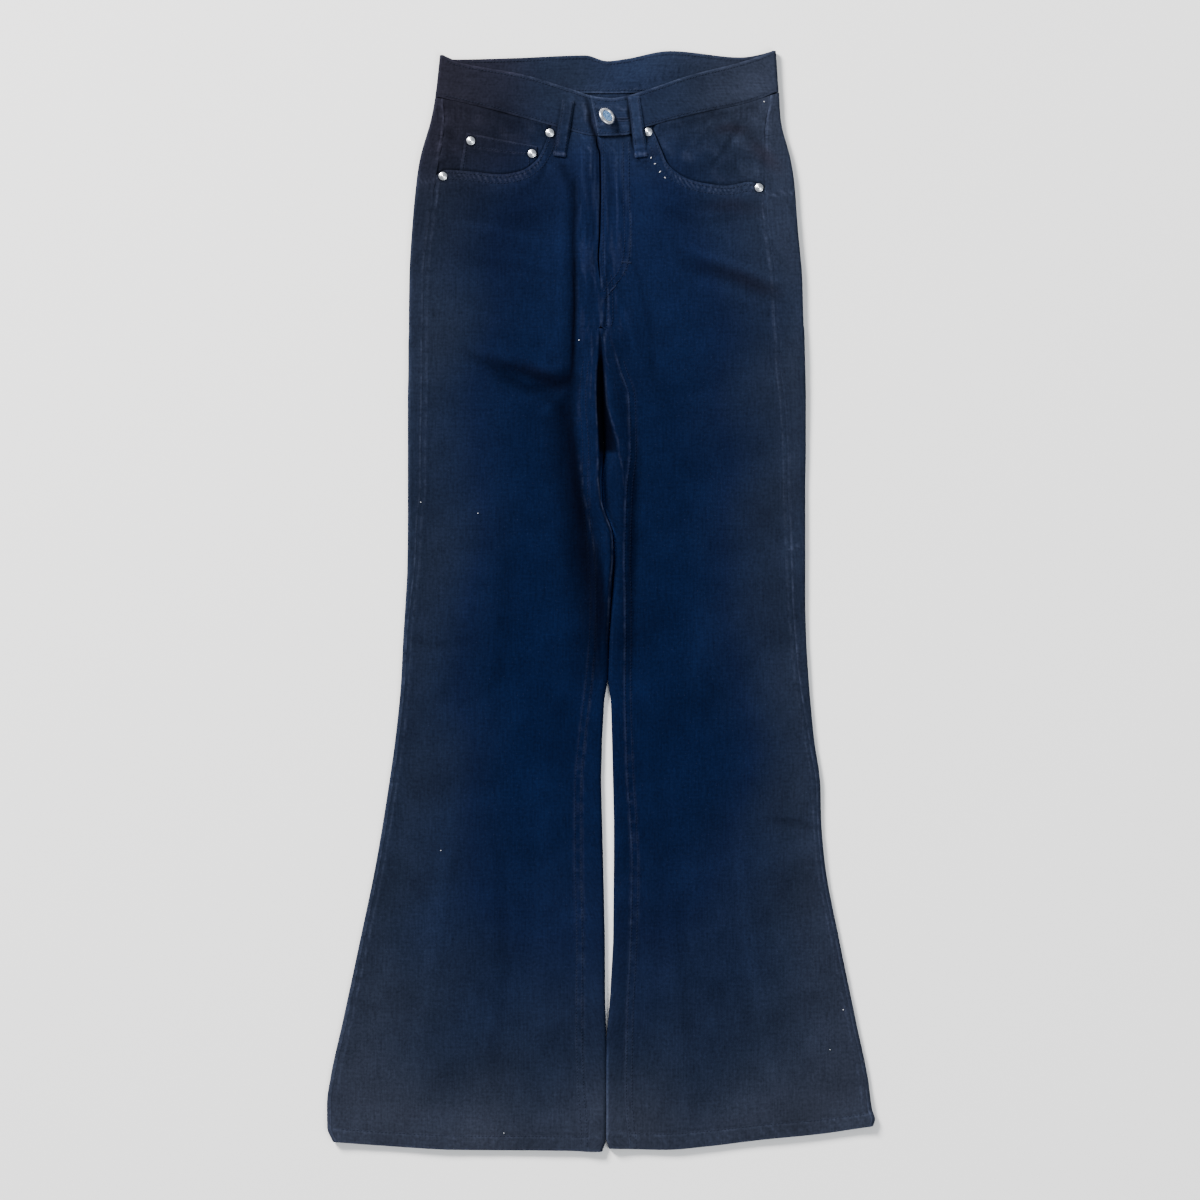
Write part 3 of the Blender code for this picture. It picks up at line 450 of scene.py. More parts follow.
# The fly: its cut edge, the seam that runs on below it, and the outer edge of its raised facing,
# which the curved stitching follows: down, x
FLY_LINE = Curve((
    (76, -4), (87, -3.6), (98, -0.4), (135, 0), (171, -0.4), (196, -1.8), (216, -0.8), (232, 0),
))
CENTRE_SEAM = Curve((
    (204, 0.5), (220, 3.8), (253, 4.7), (265, 1.9), (278, 0),
))
FLY_EDGE = Curve((
    (82, 27), (109, 27), (146, 27.4), (177, 28.6), (194, 27.3), (207, 24), (216, 19), (223, 13), (231, 8),
    (238, 2), (244, -6),
))

# The hollow where the two inner thighs part, painted dark as shade: its two sides at each level
VALLEY = Table(("down", "start", "end"), (
    (276, -0.4, 1.2), (285, -1, 2.4), (304, -4.4, 3.4), (332, -4.75, 5.4), (349, -3.2, 8.6),
    (365, -2.4, 13.3), (381, -1.6, 15.8),
))

# Folds: height, half widths on the -X side and on the other side, then x and down of
# each point
FRONT_CREASES = Creases((
    (-1.5, 3.6, 5, -25.6, 124, -26.1, 178, -25.2, 235, -27, 303),
    (1.1, 13, 6, -33.5, 122, -34.5, 188, -33.5, 254, -37, 307),
    (0.7, 5, 5, -18.1, 93, -16.1, 140, -15.2, 197, -13.3, 262),
    (-0.5, 3, 3.5, -8.5, 104, -7.6, 160, -6.6, 236),
    (0.7, 2.6, 2.6, -11.2, 82, -10.4, 103, -9.5, 121),
    (1.2, 6, 11, -118, 288, -91, 299, -68, 309, -43, 305, -28, 296),
    (-1.1, 11, 6, -106, 303, -68, 321, -39, 317, -27, 310),
    (0.9, 6, 9, -28, 313, -39, 329, -56, 345),
    (0.5, 9, 7, -142, 163, -96, 171, -50, 184),
    (-0.45, 9, 7, -124, 200, -77, 205, -39, 217),
    (0.4, 12, 8, -160, 236, -122, 247, -84, 268),
    (0.8, 10, 7, 84, 188, 127, 203, 163, 216),
    (-0.3, 12, 9, 84, 201, 128, 216, 166, 228),
    (0.4, 9, 8, 98, 220, 137, 235, 166, 246),
    (-0.6, 5, 9, 31, 199, 39, 226, 47, 269, 49, 312),
    (0.5, 5, 7, 15, 236, 27, 260, 35, 298),
    (-0.5, 2.8, 2.8, 8.8, 98, 9.2, 150, 9, 205),
    (0.35, 2.8, 3, 3.6, 90, 3.8, 150, 3.4, 216),
    (0.35, 4, 4, 15.5, 96, 16, 150, 14.5, 214),
    (-0.3, 2.6, 2.6, 20.8, 100, 21.4, 150, 20.6, 198),
    (-0.55, 10, 8, 58, 146, 74, 158, 98, 163, 132, 158),
    (-0.4, 8, 9, -62, 138, -90, 146, -128, 141),
    (0.6, 3.5, 3.5, 189, 469, 179, 473, 171, 479),
    (-0.7, 5, 8, 209, 741, 190, 733, 160, 730),
    (-0.4, 8, 8, -186, 556, -160, 566, -130, 562),
    (-0.4, 13, 15, -92, 420, -88, 520, -104, 660),
    (0.35, 15, 12, 92, 420, 98, 540, 88, 680),
    (0.5, 13, 10, -136, 700, -156, 830, -176, 960),
    (-0.45, 12, 12, -96, 760, -92, 880, -104, 1000),
    (0.5, 11, 13, 128, 720, 140, 850, 166, 985),
    (-0.4, 12, 12, 72, 780, 80, 900, 92, 1005),
    (0.3, 14, 12, -56, 640, -52, 790, -60, 940),
    (-0.3, 12, 14, 56, 620, 58, 770, 50, 930),
    (-0.35, 8, 8, -232, 905, -196, 912, -170, 905),
    (0.35, 8, 8, 232, 880, 204, 892, 186, 888),
))
# On the waistband, round the button
TAB_CREASES = Creases((
    (0.4, 2.4, 2.4, -8, 53, 2, 55, 11, 53),
    (0.45, 2.6, 2.2, -6, 71, 4, 70, 14, 73, 25, 71),
    (0.4, 2.4, 2.4, 14, 52, 21, 57, 27, 54),
    (-0.4, 2.2, 2.2, 14, 77, 19, 71, 22, 65),
    (0.4, 1.8, 1.8, -6.4, 60, -4.8, 67, -4, 75),
    (0.8, 3, 3, -17, 50, -14, 58, -14.5, 67),
))
# On the left pocket facing
FACING_CREASES = Creases((
    (-0.7, 3.5, 2.5, 138, 64, 121, 90, 102, 113),
    (0.4, 2.5, 2.5, 76, 108, 80, 95, 91, 84, 104, 68, 114, 58),
    (-0.3, 5, 5, 60, 78, 84, 72, 110, 66),
))
# Dents pressed up into the hidden side
BACK_CREASES = Creases((
    (0.5, 9, 9, -150, 318, -96, 332, -40, 318),
    (0.5, 9, 9, 150, 318, 92, 334, 38, 320),
    (0.9, 8, 11, -150, 452, -98, 462, -54, 452),
    (0.8, 8, 8, -146, 476, -104, 488, -66, 484),
    (0.9, 11, 8, 148, 448, 100, 462, 52, 455),
    (0.8, 8, 8, 140, 478, 98, 486, 64, 478),
    (0.6, 12, 14, -104, 560, -108, 700, -128, 860),
    (0.6, 14, 12, 98, 560, 108, 720, 126, 880),
    (0.4, 11, 11, -66, 700, -60, 840, -70, 980),
    (0.4, 11, 11, 62, 690, 68, 830, 62, 985),
    (0.4, 12, 12, -190, 800, -180, 900, -196, 990),
    (0.4, 12, 12, 186, 800, 188, 900, 196, 980),
))

# Painted shadows, in the same columns, with darkness for height: shade painted where the cloth
# lies in deep folds, beside the inner thighs' ridges, under raised edges and in slits, and painted
# highlights where the darkness is negative
SHADOWS = Creases((
    (0.34, 4, 5, -24.7, 118, -26, 165, -25.6, 222),
    (0.8, 3.2, 4, -25.6, 196, -25.4, 240, -26.6, 280, -27.6, 300, -30.5, 316),
    (0.62, 12, 12, -126, 288, -92, 298, -67, 306, -44, 312, -24, 314),
    (0.5, 1.6, 1.2, -145, 44.7, -115, 52, -77, 63.6, -50, 72),
    (0.45, 1.4, 1.8, 46, 71, 94, 59, 132, 49.6, 165, 40),
    (0.7, 31, 12, -27.5, 286, -29.5, 325, -31, 352, -26, 388, -22, 416, -18.5, 445, -16.5, 473, -12.5, 502,
     -9.5, 530, -8, 560, -8, 592),
    (0.36, 9, 5, -28, 352, -25, 380, -22.5, 407, -18.5, 435, -12.5, 468, -9.5, 500),
    (0.5, 8, 12, -12, 432, -7, 468, -3, 500, -1, 530, -2, 560, -3, 590),
    (0.35, 4.6, 5.4, 2, 380, 3.6, 410, 7, 440, 15, 458),
    (0.4, 7, 8.5, 30, 350, 34, 385, 31.5, 416, 29.5, 445, 29, 475, 27.5, 505, 27.5, 540, 26, 590),
    (0.82, 4.6, 2.8, -14, 44, -11.6, 54, -10, 68, -6.5, 78, -3, 88, -1.5, 98),
    (0.5, 1.6, 1.6, 5, 206, 5.6, 226, 4.4, 245, 2.6, 264, 1.4, 283),
    (-0.4, 6.5, 6.5, -27.5, 41, -27.5, 50),
    (-0.35, 1.6, 2.4, -28, 76, -20, 78, -14.5, 86),
    (-0.2, 7, 6, -26, 84, -21, 100, -19, 124),
    (0.3, 1.6, 1.6, 133.5, 62, 118, 88, 102, 115),
    (0.26, 9, 9, 104, 76, 122, 72, 140, 78, 150, 92, 156, 106),
    (0.22, 7, 7, 46, 100, 56, 96),
    (0.45, 9, 5, -4, 470, 0, 500, 2.5, 530, 3.5, 552),
    (0.4, 3, 4, -38, 50, -43, 78, -47, 102),
    (0.42, 3.6, 3, -24.5, 44, -29, 72, -32.5, 102),
    (0.92, 2.4, 2.2, 23.6, 38, 27.6, 70, 31.4, 104),
    (0.6, 1.8, 1.4, 31, 103, 38, 104.6, 46, 105),
    (0.65, 0.8, 2.6, -3, 43.2, 10, 44.4, 24, 42.6, 38, 38.4),
    (-0.18, 6, 5, -16, 80, -16.5, 98, -15.5, 116),
    (0.2, 14, 13, 74, 197, 104, 207, 126, 215, 146, 222, 168, 228),
    (0.26, 12, 12, -62, 318, -50, 328, -40, 338, -30, 352),
    (0.75, 0.9, 0.9, 12.8, 65.5, 20, 65.6, 26.6, 65.4),
    (0.55, 2, 1.4, -2, 81.5, 8, 83.2, 16, 82.2, 26, 82.6),
    (0.4, 1.6, 2.2, 26.4, 50, 28.2, 62, 30, 76),
    (0.2, 22, 22, 84, 66, 120, 60, 162, 58),
    (0.16, 16, 18, -140, 150, -96, 156, -52, 160),
    (0.12, 12, 13, 58, 150, 98, 146, 130, 145, 152, 152),
    (0.36, 8, 8, -40, 104, -35, 116, -28, 132),
    (0.22, 5, 5, 36, 104, 41, 110, 54, 112),
))
# Where the colour is browner: most rows lie on painted shadows and tint them brown
WARM_PATCHES = Creases((
    (0.8, 8, 8, 108, 76, 122, 73, 138, 76),
    (0.8, 12, 12, 142, 88, 156, 100, 168, 112),
    (0.6, 8, 8, 44, 100, 54, 94),
    (0.7, 12, 12, 96, 149, 124, 146, 150, 152),
    (0.8, 10, 12, 96, 204, 126, 213, 150, 224, 168, 230),
    (0.9, 10, 12, -78, 298, -58, 308, -38, 320),
    (0.8, 14, 10, -14, 470, -8, 500, -3, 530, 0, 556),
    (0.8, 5, 4, -9, 60, -6, 78, -2, 92),
    (0.7, 9, 9, -48, 66, -44, 82, -42, 98),
))
# Where the cloth is paler along its edges and ridges: rubbed wear, and painted highlights on the fold edges
# and crests between the thighs and along the tab
RUBBED_AND_HIGHLIT = Creases((
    (0.55, 1.3, 1, -4.4, 300, -5, 320, -3.8, 350, -3.2, 384),
    (0.5, 1, 1.5, 3.8, 304, 5.2, 335, 10.8, 354, 15.2, 369, 17.4, 384, 20, 396, 21.4, 412),
    (0.24, 1.1, 1.1, 3.9, 86, 4.1, 150, 3.8, 214),
    (0.16, 2, 2, 13.6, 92, 14.2, 150, 12.8, 208),
    (0.36, 2, 2, -11.2, 82, -10.8, 103, -9.6, 119),
    (0.18, 1.6, 1, -3.6, 92, -2.4, 150, -4, 200),
    (-0.85, 1.3, 1.1, 148.6, 74, 148.4, 98, 147.4, 120),
    (1.1, 1.3, 1.2, -3, 384, -2.9, 408, -0.6, 427, 3.6, 441, 8.6, 452, 10.6, 466, 10.4, 486, 8.4, 508, 7,
     530, 5.4, 560),
    (0.28, 1.3, 1.3, -9, 270, -8.6, 300, -10.5, 330),
    (0.42, 1.4, 1.4, -20.5, 384, -16.5, 420, -11.5, 446, -7.5, 466, -5.5, 484),
    (0.5, 1.6, 1.2, -2, 79.4, 10, 80.6, 25, 79.6),
    (0.45, 1.2, 1.2, 1.6, 262, 3.4, 276, 5, 292, 8, 306),
    (0.6, 1.6, 1.6, 189, 469, 180, 473, 173, 479),
    (0.5, 2.2, 2.2, -28.5, 42, -27, 45, -25.6, 49),
    (0.26, 5, 5, -132, 78, -134, 95, -136, 112),
    (0.2, 1.6, 1.6, -19.5, 305, -20.5, 330, -22.5, 360),
))

# How far the colour greys from its dark middle, towards the waist and the hem: down, share
GREYING = Curve((
    (0, 0.66), (50, 0.62), (80, 0.52), (100, 0.4), (150, 0.26), (250, 0.16), (350, 0.08), (560, 0),
    (660, 0), (750, 0.09), (825, 0.28), (880, 0.42), (939, 0.58), (996, 0.84), (1045, 1),
))


# --------------------------------------------------------------------------------------- the form


@dataclass(frozen=True)
class Leg:
    """One half of the garment: its tables, read by name."""

    side: Side
    outline: Table
    thigh: Table
    mouth: Curve
    hem: Curve
    corner: float = 3.2

    @property
    def last(self) -> float:
        """Nominal level of the last row, at the hem's outer corner."""
        return self.outline.rows[-1][0]

    @property
    def mouth_start(self) -> float:
        """How far out the pocket mouth starts, under the waistband."""
        return self.mouth.points[0][0]

    def outer(self, level: Value) -> Array:
        """How far out the folded edge lies."""
        return self.outline["outer"](level)

    def seam(self, level: Value) -> Array:
        """How far out the outseam lies on the front."""
        return self.outer(level) - self.outline["inset"](level)

    def inseam(self, level: Value) -> Array:
        """How far out the front panel's inner edge lies."""
        return self.outline["inseam"](level)

    def inner(self, level: Value) -> Array:
        """How far out the leg's inner edge lies, negative past the centre line, rounded at the hem.

        Args:
            level: Nominal levels.

        Returns:
            The distances out.
        """
        gap = np.maximum(MIDDLE["half_gap"].line(level) - 0.12, HALF_GAP)
        corner = self.corner * smooth_step(level, self.last - 9.0, self.last + 1.0)
        return self.side * MIDDLE["x"].line(level) + gap + corner

    def lift(self, out: Value, level: Value) -> Array:
        """Height of the hemmed pocket mouth over the facing, below the mouth's edge."""
        inside = smooth_step(self.seam(level) - out, 0.5, 14.0) * smooth_step(out, 45.0, 53.0)
        return MOUTH_LIFT * inside * fade(level - self.mouth(out), 13.0, 27.0)

    def down(self, out: Value, level: Value) -> Array:
        """Where a row lies once the hem's curve has moved the lowest ones."""
        share = np.clip((level - HEM_BLEND) / (self.last - HEM_BLEND), 0.0, 1.0)
        return level + share * (self.hem(out) - self.last)

    def yoke(self, out: Value) -> Array:
        """Level of the yoke seam, lower at the centre back."""
        share = 1.0 - np.clip(out / self.outer(YOKE_SIDE), 0.0, 1.0)
        return YOKE_SIDE + (YOKE_CENTRE - YOKE_SIDE) * share


@dataclass(frozen=True)
class JeansForm:
    """Heights, tones, wear and painted light and shade of the cloth at every place of the garment."""

    legs: dict[Side, Leg]
    seam_pucker: float = 0.13
    ground: float = 0.17
    fine_ground: float = 0.06
    gather: float = 0.26

    def under(self, level: Value) -> Array:
        """Height of the underside: the seat lies on the back pockets, the legs on the surface."""
        return SEAT_LIFT * fade(level, 325.0, 375.0)

    def dents(self, x: Array, level: Array, outer: Array) -> Array:
        """How far the underside's creases are pressed up, nothing near the folded edges."""
        total = BACK_CREASES.relief(x, level) + 0.08 * (1.0 + clipped_waves(x, level, 31, 55.0))
        return total * smooth_step(outer - np.abs(x), 4.0, 24.0) * smooth_step(np.abs(x), 18.0, 40.0)

    def rope(self, out: Value, above: Value) -> Array:
        """Slanting ropes across the turned hem, -1 to 1."""
        return ripple(out + 0.9 * above + 2.0 * np.sin(out / 17.0), 10.5)

    def seams(self, leg: Leg, out: Value, level: Value) -> Array:
        """Relief of the outseam, the inseam and the turned hem.

        Each seam is a pressed ridge beside its line, with puckers that alternate along it; the hem is
        a step with slanting ropes across it.

        Args:
            leg: The half of the garment.
            out: Places out from the centre line.
            level: Nominal levels.

        Returns:
            The height that the seams add.
        """
        away, inner, above = out - leg.seam(level), out - leg.inseam(level), leg.last - level
        wobble = level + 2.5 * np.sin(level / 23.0) + 1.7 * np.sin(level / 9.1)
        outseam = welts(away, (0.26, 1.6, 4.4), (0.18, -5.0, 4.4))
        outseam = outseam + self.seam_pucker * ripple(wobble, 12.0) * bump(away / 9.0)
        inseam = 0.3 * between(inner, (-1.0, 2.5), (5.6, 8.8))
        inseam = inseam + self.seam_pucker * ripple(wobble + 0.5 * inner, 9.5) * bump((inner - 4.0) / 9.0)
        inseam = inseam * smooth_step(level, CROTCH + 10.0, CROTCH + 40.0)
        hem = 0.55 * fade(above, 12.2, 14.6) + 0.17 * self.rope(out, above) * bump((above - 7.0) / 9.0)
        return outseam + inseam + hem

    def fly(self, leg: Leg, x: Value, level: Value) -> Array:
        """Relief round the fly: its facing lifts the left front, and the right front dips under it.

        Args:
            leg: The half of the garment.
            x: Places across.
            level: Nominal levels.

        Returns:
            The height that the fly adds.
        """
        away = x - CENTRE_SEAM(level)
        seam = 0.3 * between(away, (-1.0, 1.0), (4.0, 9.0)) - 0.2 * bump(away / 1.6)
        seam = seam * between(level, FLY_FOOT, (262.0, 280.0))
        if leg.side is Side.LEFT:
            return 0.40 * smooth_step(FLY_EDGE(level) - x, -1.6, 1.6) * smooth_step(level, 60.0, 84.0) + seam
        dip = bump(np.minimum(x - FLY_LINE(level), 0.0) / 5.0)
        return seam - 0.75 * dip * between(level, (76.0, 92.0), (196.0, 222.0))

    def gathers(self, x: Value, level: Value) -> Array:
        """Fine upright rucks, -1 to 1: round the fly, by the two side seams and down the inner thighs.

        Args:
            x: Places across.
            level: Nominal levels.

        Returns:
            The rucks, before their height or wear scales them.
        """
        round_fly = between(x, (-27.0, -18.0), (22.0, 31.0)) * between(level, (80.0, 92.0), (244.0, 290.0))
        by_seams = welts(x, (0.9, 157.0, 17.0), (0.7, -156.0, 15.0))
        by_seams = by_seams * between(level, (46.0, 62.0), (150.0, 210.0))
        thighs = 0.28 * bump((x - 2.0) / 34.0) * between(level, (270.0, 300.0), (560.0, 660.0))
        rucks = np.clip(waves(9.5 * x, 0.45 * level, 13, 24.0, 28), -1.8, 1.8) / 1.8
        return rucks * (round_fly + by_seams + thighs)

    def relief(self, leg: Leg, out: Value, level: Value) -> Array:
        """Fine relief of the front: folds, soft uneven ground, gathers, seams, hem and fly.

        Args:
            leg: The half of the garment.
            out: Places out from the centre line.
            level: Nominal levels.

        Returns:
            The height that it adds.
        """
        x = leg.side * out
        ground = self.ground * waves(x, level, 11, 58.0) + self.fine_ground * waves(x, level, 12, 17.0)
        folds = FRONT_CREASES.relief(x, level) + self.gather * self.gathers(x, level)
        return ground + folds + self.seams(leg, out, level) + self.fly(leg, x, level)

    def broad_folds(self, x: Value, level: Value) -> Array:
        """Height of the broad folds: a bump across each and another along it.

        Args:
            x: Places across.
            level: Nominal levels.

        Returns:
            The height that they add.
        """
        total = np.zeros(np.broadcast(x, level).shape)
        for from_x, from_down, to_x, to_down, half_width, height in BROAD_FOLDS:
            run_x, run_down = to_x - from_x, to_down - from_down
            length = np.hypot(run_x, run_down)
            off_x, off_down = x - from_x, level - from_down
            along = (off_x * run_x + off_down * run_down) / length - length / 2
            across = (off_x * run_down - off_down * run_x) / length
            total += height * bump(across / half_width) * bump(along / (length / 2 + half_width))
        return total

    def top(self, leg: Leg, out: Value, level: Value) -> Array:
        """Height of the front's outer face.

        The stack of layers, rising to the hem and swelling towards the folded edge, plus the inner
        thigh's ridge, the broad folds and the fine relief.

        Args:
            leg: The half of the garment.
            out: Places out from the centre line.
            level: Nominal levels.

        Returns:
            The heights.
        """
        base = STACK["height"].line(level)
        base = base + HEM_RISE * smooth_step(level, leg.last - 3 * HEM_DEPTH, leg.last - HEM_DEPTH)
        swell = STACK["swell"].line(level) * bump((leg.outer(level) - out) / SWELL_WIDTH)
        crest = leg.inner(level) + leg.thigh["inset"].line(level)
        ridge = np.maximum(leg.thigh["height"].line(level) - base, 0.0) * smooth_step(level, 250.0, 275.0)
        ridge = ridge * bump(np.maximum(out - crest, 0.0) / leg.thigh["width"].line(level))
        folds = self.broad_folds(leg.side * out, level) * smooth_step(out - crest, 0.0, 12.0)
        return base + swell + ridge + folds + self.relief(leg, out, level)

    def mouth_ruck(self, out: Value, level: Value) -> Array:
        """Puckers square to a pocket's mouth, -1 to 1, uneven in pitch and strength."""
        run = out + 0.6 * level
        return (0.7 + 0.3 * np.sin(run / 4.1) * np.sin(run / 13.7 + 1.0)) * ripple(run, 5.0, 1.5, 6.3)

    def front(self, leg: Leg, out: Value, level: Value) -> Array:
        """Height of the front panel: the top, lifted and puckered along the pocket mouth.

        Args:
            leg: The half of the garment.
            out: Places out from the centre line.
            level: Nominal levels.

        Returns:
            The heights.
        """
        below = level - leg.mouth(out)
        pucker = 0.34 * self.mouth_ruck(out, level) * bump((below - 6.5) / 8.0)
        hem = 0.30 * bump((below - 8.6) / 4.5)
        lift = leg.lift(out, level) + smooth_step(out, 50.0, 60.0) * (pucker - hem)
        return self.top(leg, out, level) + lift

    def tab_lift(self, x: Value) -> Array:
        """Height of the waistband's left end over its right end."""
        return (BAND_CLOTH + GAP) * fade(x, *TAB_RAMP)

    def band(self, leg: Leg, x: Value, down: Value) -> Array:
        """Height of the waistband's outer face on the front."""
        high = self.top(leg, leg.side * x, down) + BAND_RISE + TAB_CREASES.relief(x, down)
        return high + (self.tab_lift(x) if leg.side is Side.LEFT else 0.0)

    def tone(self, x: Value, level: Value) -> Array:
        """How grey the cloth's colour is, from 0 in the dark middle to 1.

        It is 1 - (1 - sideways)(1 - lengthways): sideways grows with the share of the half width and is
        partly fading and partly painted sheen on the folded edges; lengthways is the greying curve.

        Args:
            x: Places across.
            level: Nominal levels.

        Returns:
            The tones.
        """
        half = np.where(x < 0.0, self.legs[Side.RIGHT].outer(level), self.legs[Side.LEFT].outer(level))
        share = np.abs(x) / half + 0.035 * waves(x, level, 21, 150.0)
        # The greying towards the sides is partly painted sheen
        sideways = 0.66 * smooth_step(share, 0.34, 1.02) + 0.05 * smooth_step(x, 20.0, 160.0)
        lengthways = GREYING.line(level) * (1.0 + 0.035 * waves(x, level, 22, 110.0))
        return np.clip(1.0 - (1.0 - sideways) * (1.0 - np.clip(lengthways, 0.0, 1.0)), 0.0, 1.0)

    def shadows(self, x: Value, level: Value) -> Array:
        """Painted shade and light: what the deep folds, the shallow ones and the rivets' rims leave of the
        colour.

        Args:
            x: Places across.
            level: Nominal levels.

        Returns:
            The factor of the colour.
        """
        # Painted highlight on the creases' ridges and painted shade in their troughs
        left = np.clip(1.0 + 0.30 * FRONT_CREASES.relief(x, level), 0.55, 1.18)
        for dark in SHADOWS.each(x, level):
            left = left * (1.0 - dark)
        # A painted shadow ring round each rivet's rim
        for rivet_x, rivet_down in RIVETS.values():
            left = left * (1.0 - 0.65 * bump((np.hypot(x - rivet_x, level - rivet_down) - 4.4) / 1.7))
        return left

    def lights(self, x: Value, level: Value) -> Array:
        """Where the colour is paler or darker by whole areas.

        The left hip and the front by the fly are paler and the right side of the waist is darker. Painted
        highlights brighten the inner thighs' walls where they meet, which lie in shadow, and the legs'
        inner edges at the hem.

        Args:
            x: Places across.
            level: Nominal levels.

        Returns:
            The factor of the colour.
        """
        hips = 0.14 * fade(level, 120.0, 380.0) * smooth_step(x, -60.0, 150.0)
        waist = 0.24 * fade(level, 60.0, 300.0) * smooth_step(-x, 40.0, 130.0)
        above = 0.36 * fade(level, 85.0, 115.0) * bump((x - 20.0) / 75.0)
        below = 0.18 * between(level, (85.0, 115.0), (220.0, 290.0)) * bump((x - 20.0) / 70.0)
        # Painted highlight on the inner thighs' walls and on the inner edges at the hem
        wall = between(level, (384.0, 400.0), (450.0, 500.0)) + 0.22 * smooth_step(level, 930.0, 950.0)
        wall = 4.0 * bump((MIDDLE["x"].line(level) - x + 0.6) / 2.8) * wall
        return (1.0 + hips - waist) * (1.0 + above) * (1.0 + below) * (1.0 + wall)

    def hollow(self, x: Value, level: Value) -> Array:
        """How deep, 0 to 1, a place lies in the hollow between the inner thighs, where shade is painted.

        Args:
            x: Places across.
            level: Nominal levels.

        Returns:
            The depth, which is 0 outside the hollow.
        """
        depth = smooth_step(x - VALLEY["start"](level), -1.2, 1.2) * fade(x - VALLEY["end"](level), -2.0, 1.6)
        depth = depth * (1.0 - 0.25 * smooth_step(x, 7.0, 14.0))
        return depth * between(level, (272.0, 296.0), (379.5, 382.5))

    def shade(self, x: Value, level: Value) -> Array:
        """Painted shade and light: how much of the cloth's colour is left, by folds, areas and the hollow's
        painted shade, unevenly.
        """
        left = self.shadows(x, level) * self.lights(x, level) * (1.0 - 0.84 * self.hollow(x, level))
        return left * (1.0 + 0.05 * waves(x, level, 23, 70.0))

    def warmth(self, x: Value, down: Value) -> Array:
        """How brown the colour is, 0 to 1: on the right side of the waist and in patches, most of which lie
        on painted shadows and tint them brown.

        Args:
            x: Places across.
            down: Places down the garment.

        Returns:
            The share of brown.
        """
        right = smooth_step(-x, 45.0, 95.0) * fade(down, 150.0, 260.0)
        right = right * (1.0 - 0.75 * smooth_step(down, 84.0, 150.0))
        return np.clip(right + WARM_PATCHES.relief(x, down), 0.0, 1.0)

    def seam_wear(self, leg: Leg, out: Value, level: Value) -> Array:
        """Wear of the outseam, the inseam and the hem.

        Each is a pale ridge on either side of its line, with a dark line below the hem's. Fine ticks
        cross the outseam below the waistband and the inseam below the knee.

        Args:
            leg: The half of the garment.
            out: Places out from the centre line.
            level: Nominal levels.

        Returns:
            The wear, negative where it is dark.
        """
        away, inner, above = out - leg.seam(level), out - leg.inseam(level), leg.last - level
        ticks = np.maximum(ripple(level, 2.9, 0.8, 3.7), 0.0)
        paler = 0.8 * fade(level, *((120.0, 220.0) if leg.side is Side.RIGHT else (230.0, 400.0)))
        outseam = welts(away, (0.50, 1.2, 1.5), (0.40, -3.4, 1.4)) * (1.0 + paler)
        outseam = outseam + 0.55 * ticks * bump((away - 2.6) / 4.0) * fade(level, 86.0, 118.0)
        inseam = welts(inner, (0.40, 0.9, 1.6), (0.18, 7.3, 1.4)) * smooth_step(level, CROTCH, CROTCH + 40.0)
        if leg.side is Side.RIGHT:
            inseam = inseam * (0.25 + 0.75 * smooth_step(level, 520.0, 620.0))
        inseam = inseam + 0.14 * ticks * bump((inner - 4.0) / 5.0) * smooth_step(level, 600.0, 680.0)
        hem = welts(above, (0.6, 0.6, 1.8), (0.34, 12.4, 1.6), (-0.34, 14.6, 1.5))
        return outseam + inseam + hem + 0.22 * self.rope(out, above) * bump((above - 7.0) / 8.0)

    def wear_and_painted_light(self, leg: Leg, out: Value, level: Value) -> Array:
        """How pale (positive) or dark (negative) the front is along its seams, folds and edges: wear, with
        painted highlights on crests and painted shade in troughs and at the foot of raised edges.

        Args:
            leg: The half of the garment.
            out: Places out from the centre line.
            level: Nominal levels.

        Returns:
            The wear and painted light: seams, fly and rubbed lines broken up, plus the mouth's ticks and the
                gathers.
        """
        x = leg.side * out
        total = self.seam_wear(leg, out, level) + RUBBED_AND_HIGHLIT.relief(x, level)
        if leg.side is Side.LEFT:
            # A pale line along the fly's curved edge, and painted shade at the foot of the raised fly
            fly = welts(FLY_EDGE(level) - out, (0.38, 0.4, 1.5), (-0.12, -2.0, 2.0))
            total = total + fly * smooth_step(level, 84.0, 100.0)
        centre = welts(x - CENTRE_SEAM(level), (0.42, 3.0, 2.2), (0.36, -3.4, 2.4), (-0.7, 0.0, 1.7))
        total = total + centre * between(level, FLY_FOOT, (266.0, 284.0))
        total = total * (0.70 + 0.35 * clipped_waves(x, level, 41, 11.0, 1.5))
        ticks = np.maximum(self.mouth_ruck(out, level), 0.0) * smooth_step(out, 50.0, 60.0)
        total = total + 0.95 * ticks * bump((level - leg.mouth(out) - 4.6) / 6.0)
        # The gathers are paler on their crests, and darker in their troughs as painted shade
        gathers = self.gathers(x, level)
        return total + 0.15 * np.maximum(gathers, 0.0) + 0.36 * np.minimum(gathers, 0.0)


# ------------------------------------------------------------------------------------ mesh making


@dataclass
class Sheet:
    """A sheet's outer face as a grid of places, rows by columns.

    x, level and high are each place's nominal x, level and height. down is where it lies if that is
    not its level. across and along are its cloth coordinates, and along is the place down unless it
    is given. wear holds real wear and painted light. shade, the factor of painted shade and light on
    the colour, is the form's own unless it is given. cells marks the grid's cells that are cloth.
    """

    x: Array
    level: Array
    high: Array
    wear_and_painted_light: Array
    across: Array
    along: Array | None = None
    down: Array | None = None
    shade: Array | None = None
    cells: NDArray[np.bool_] | None = None


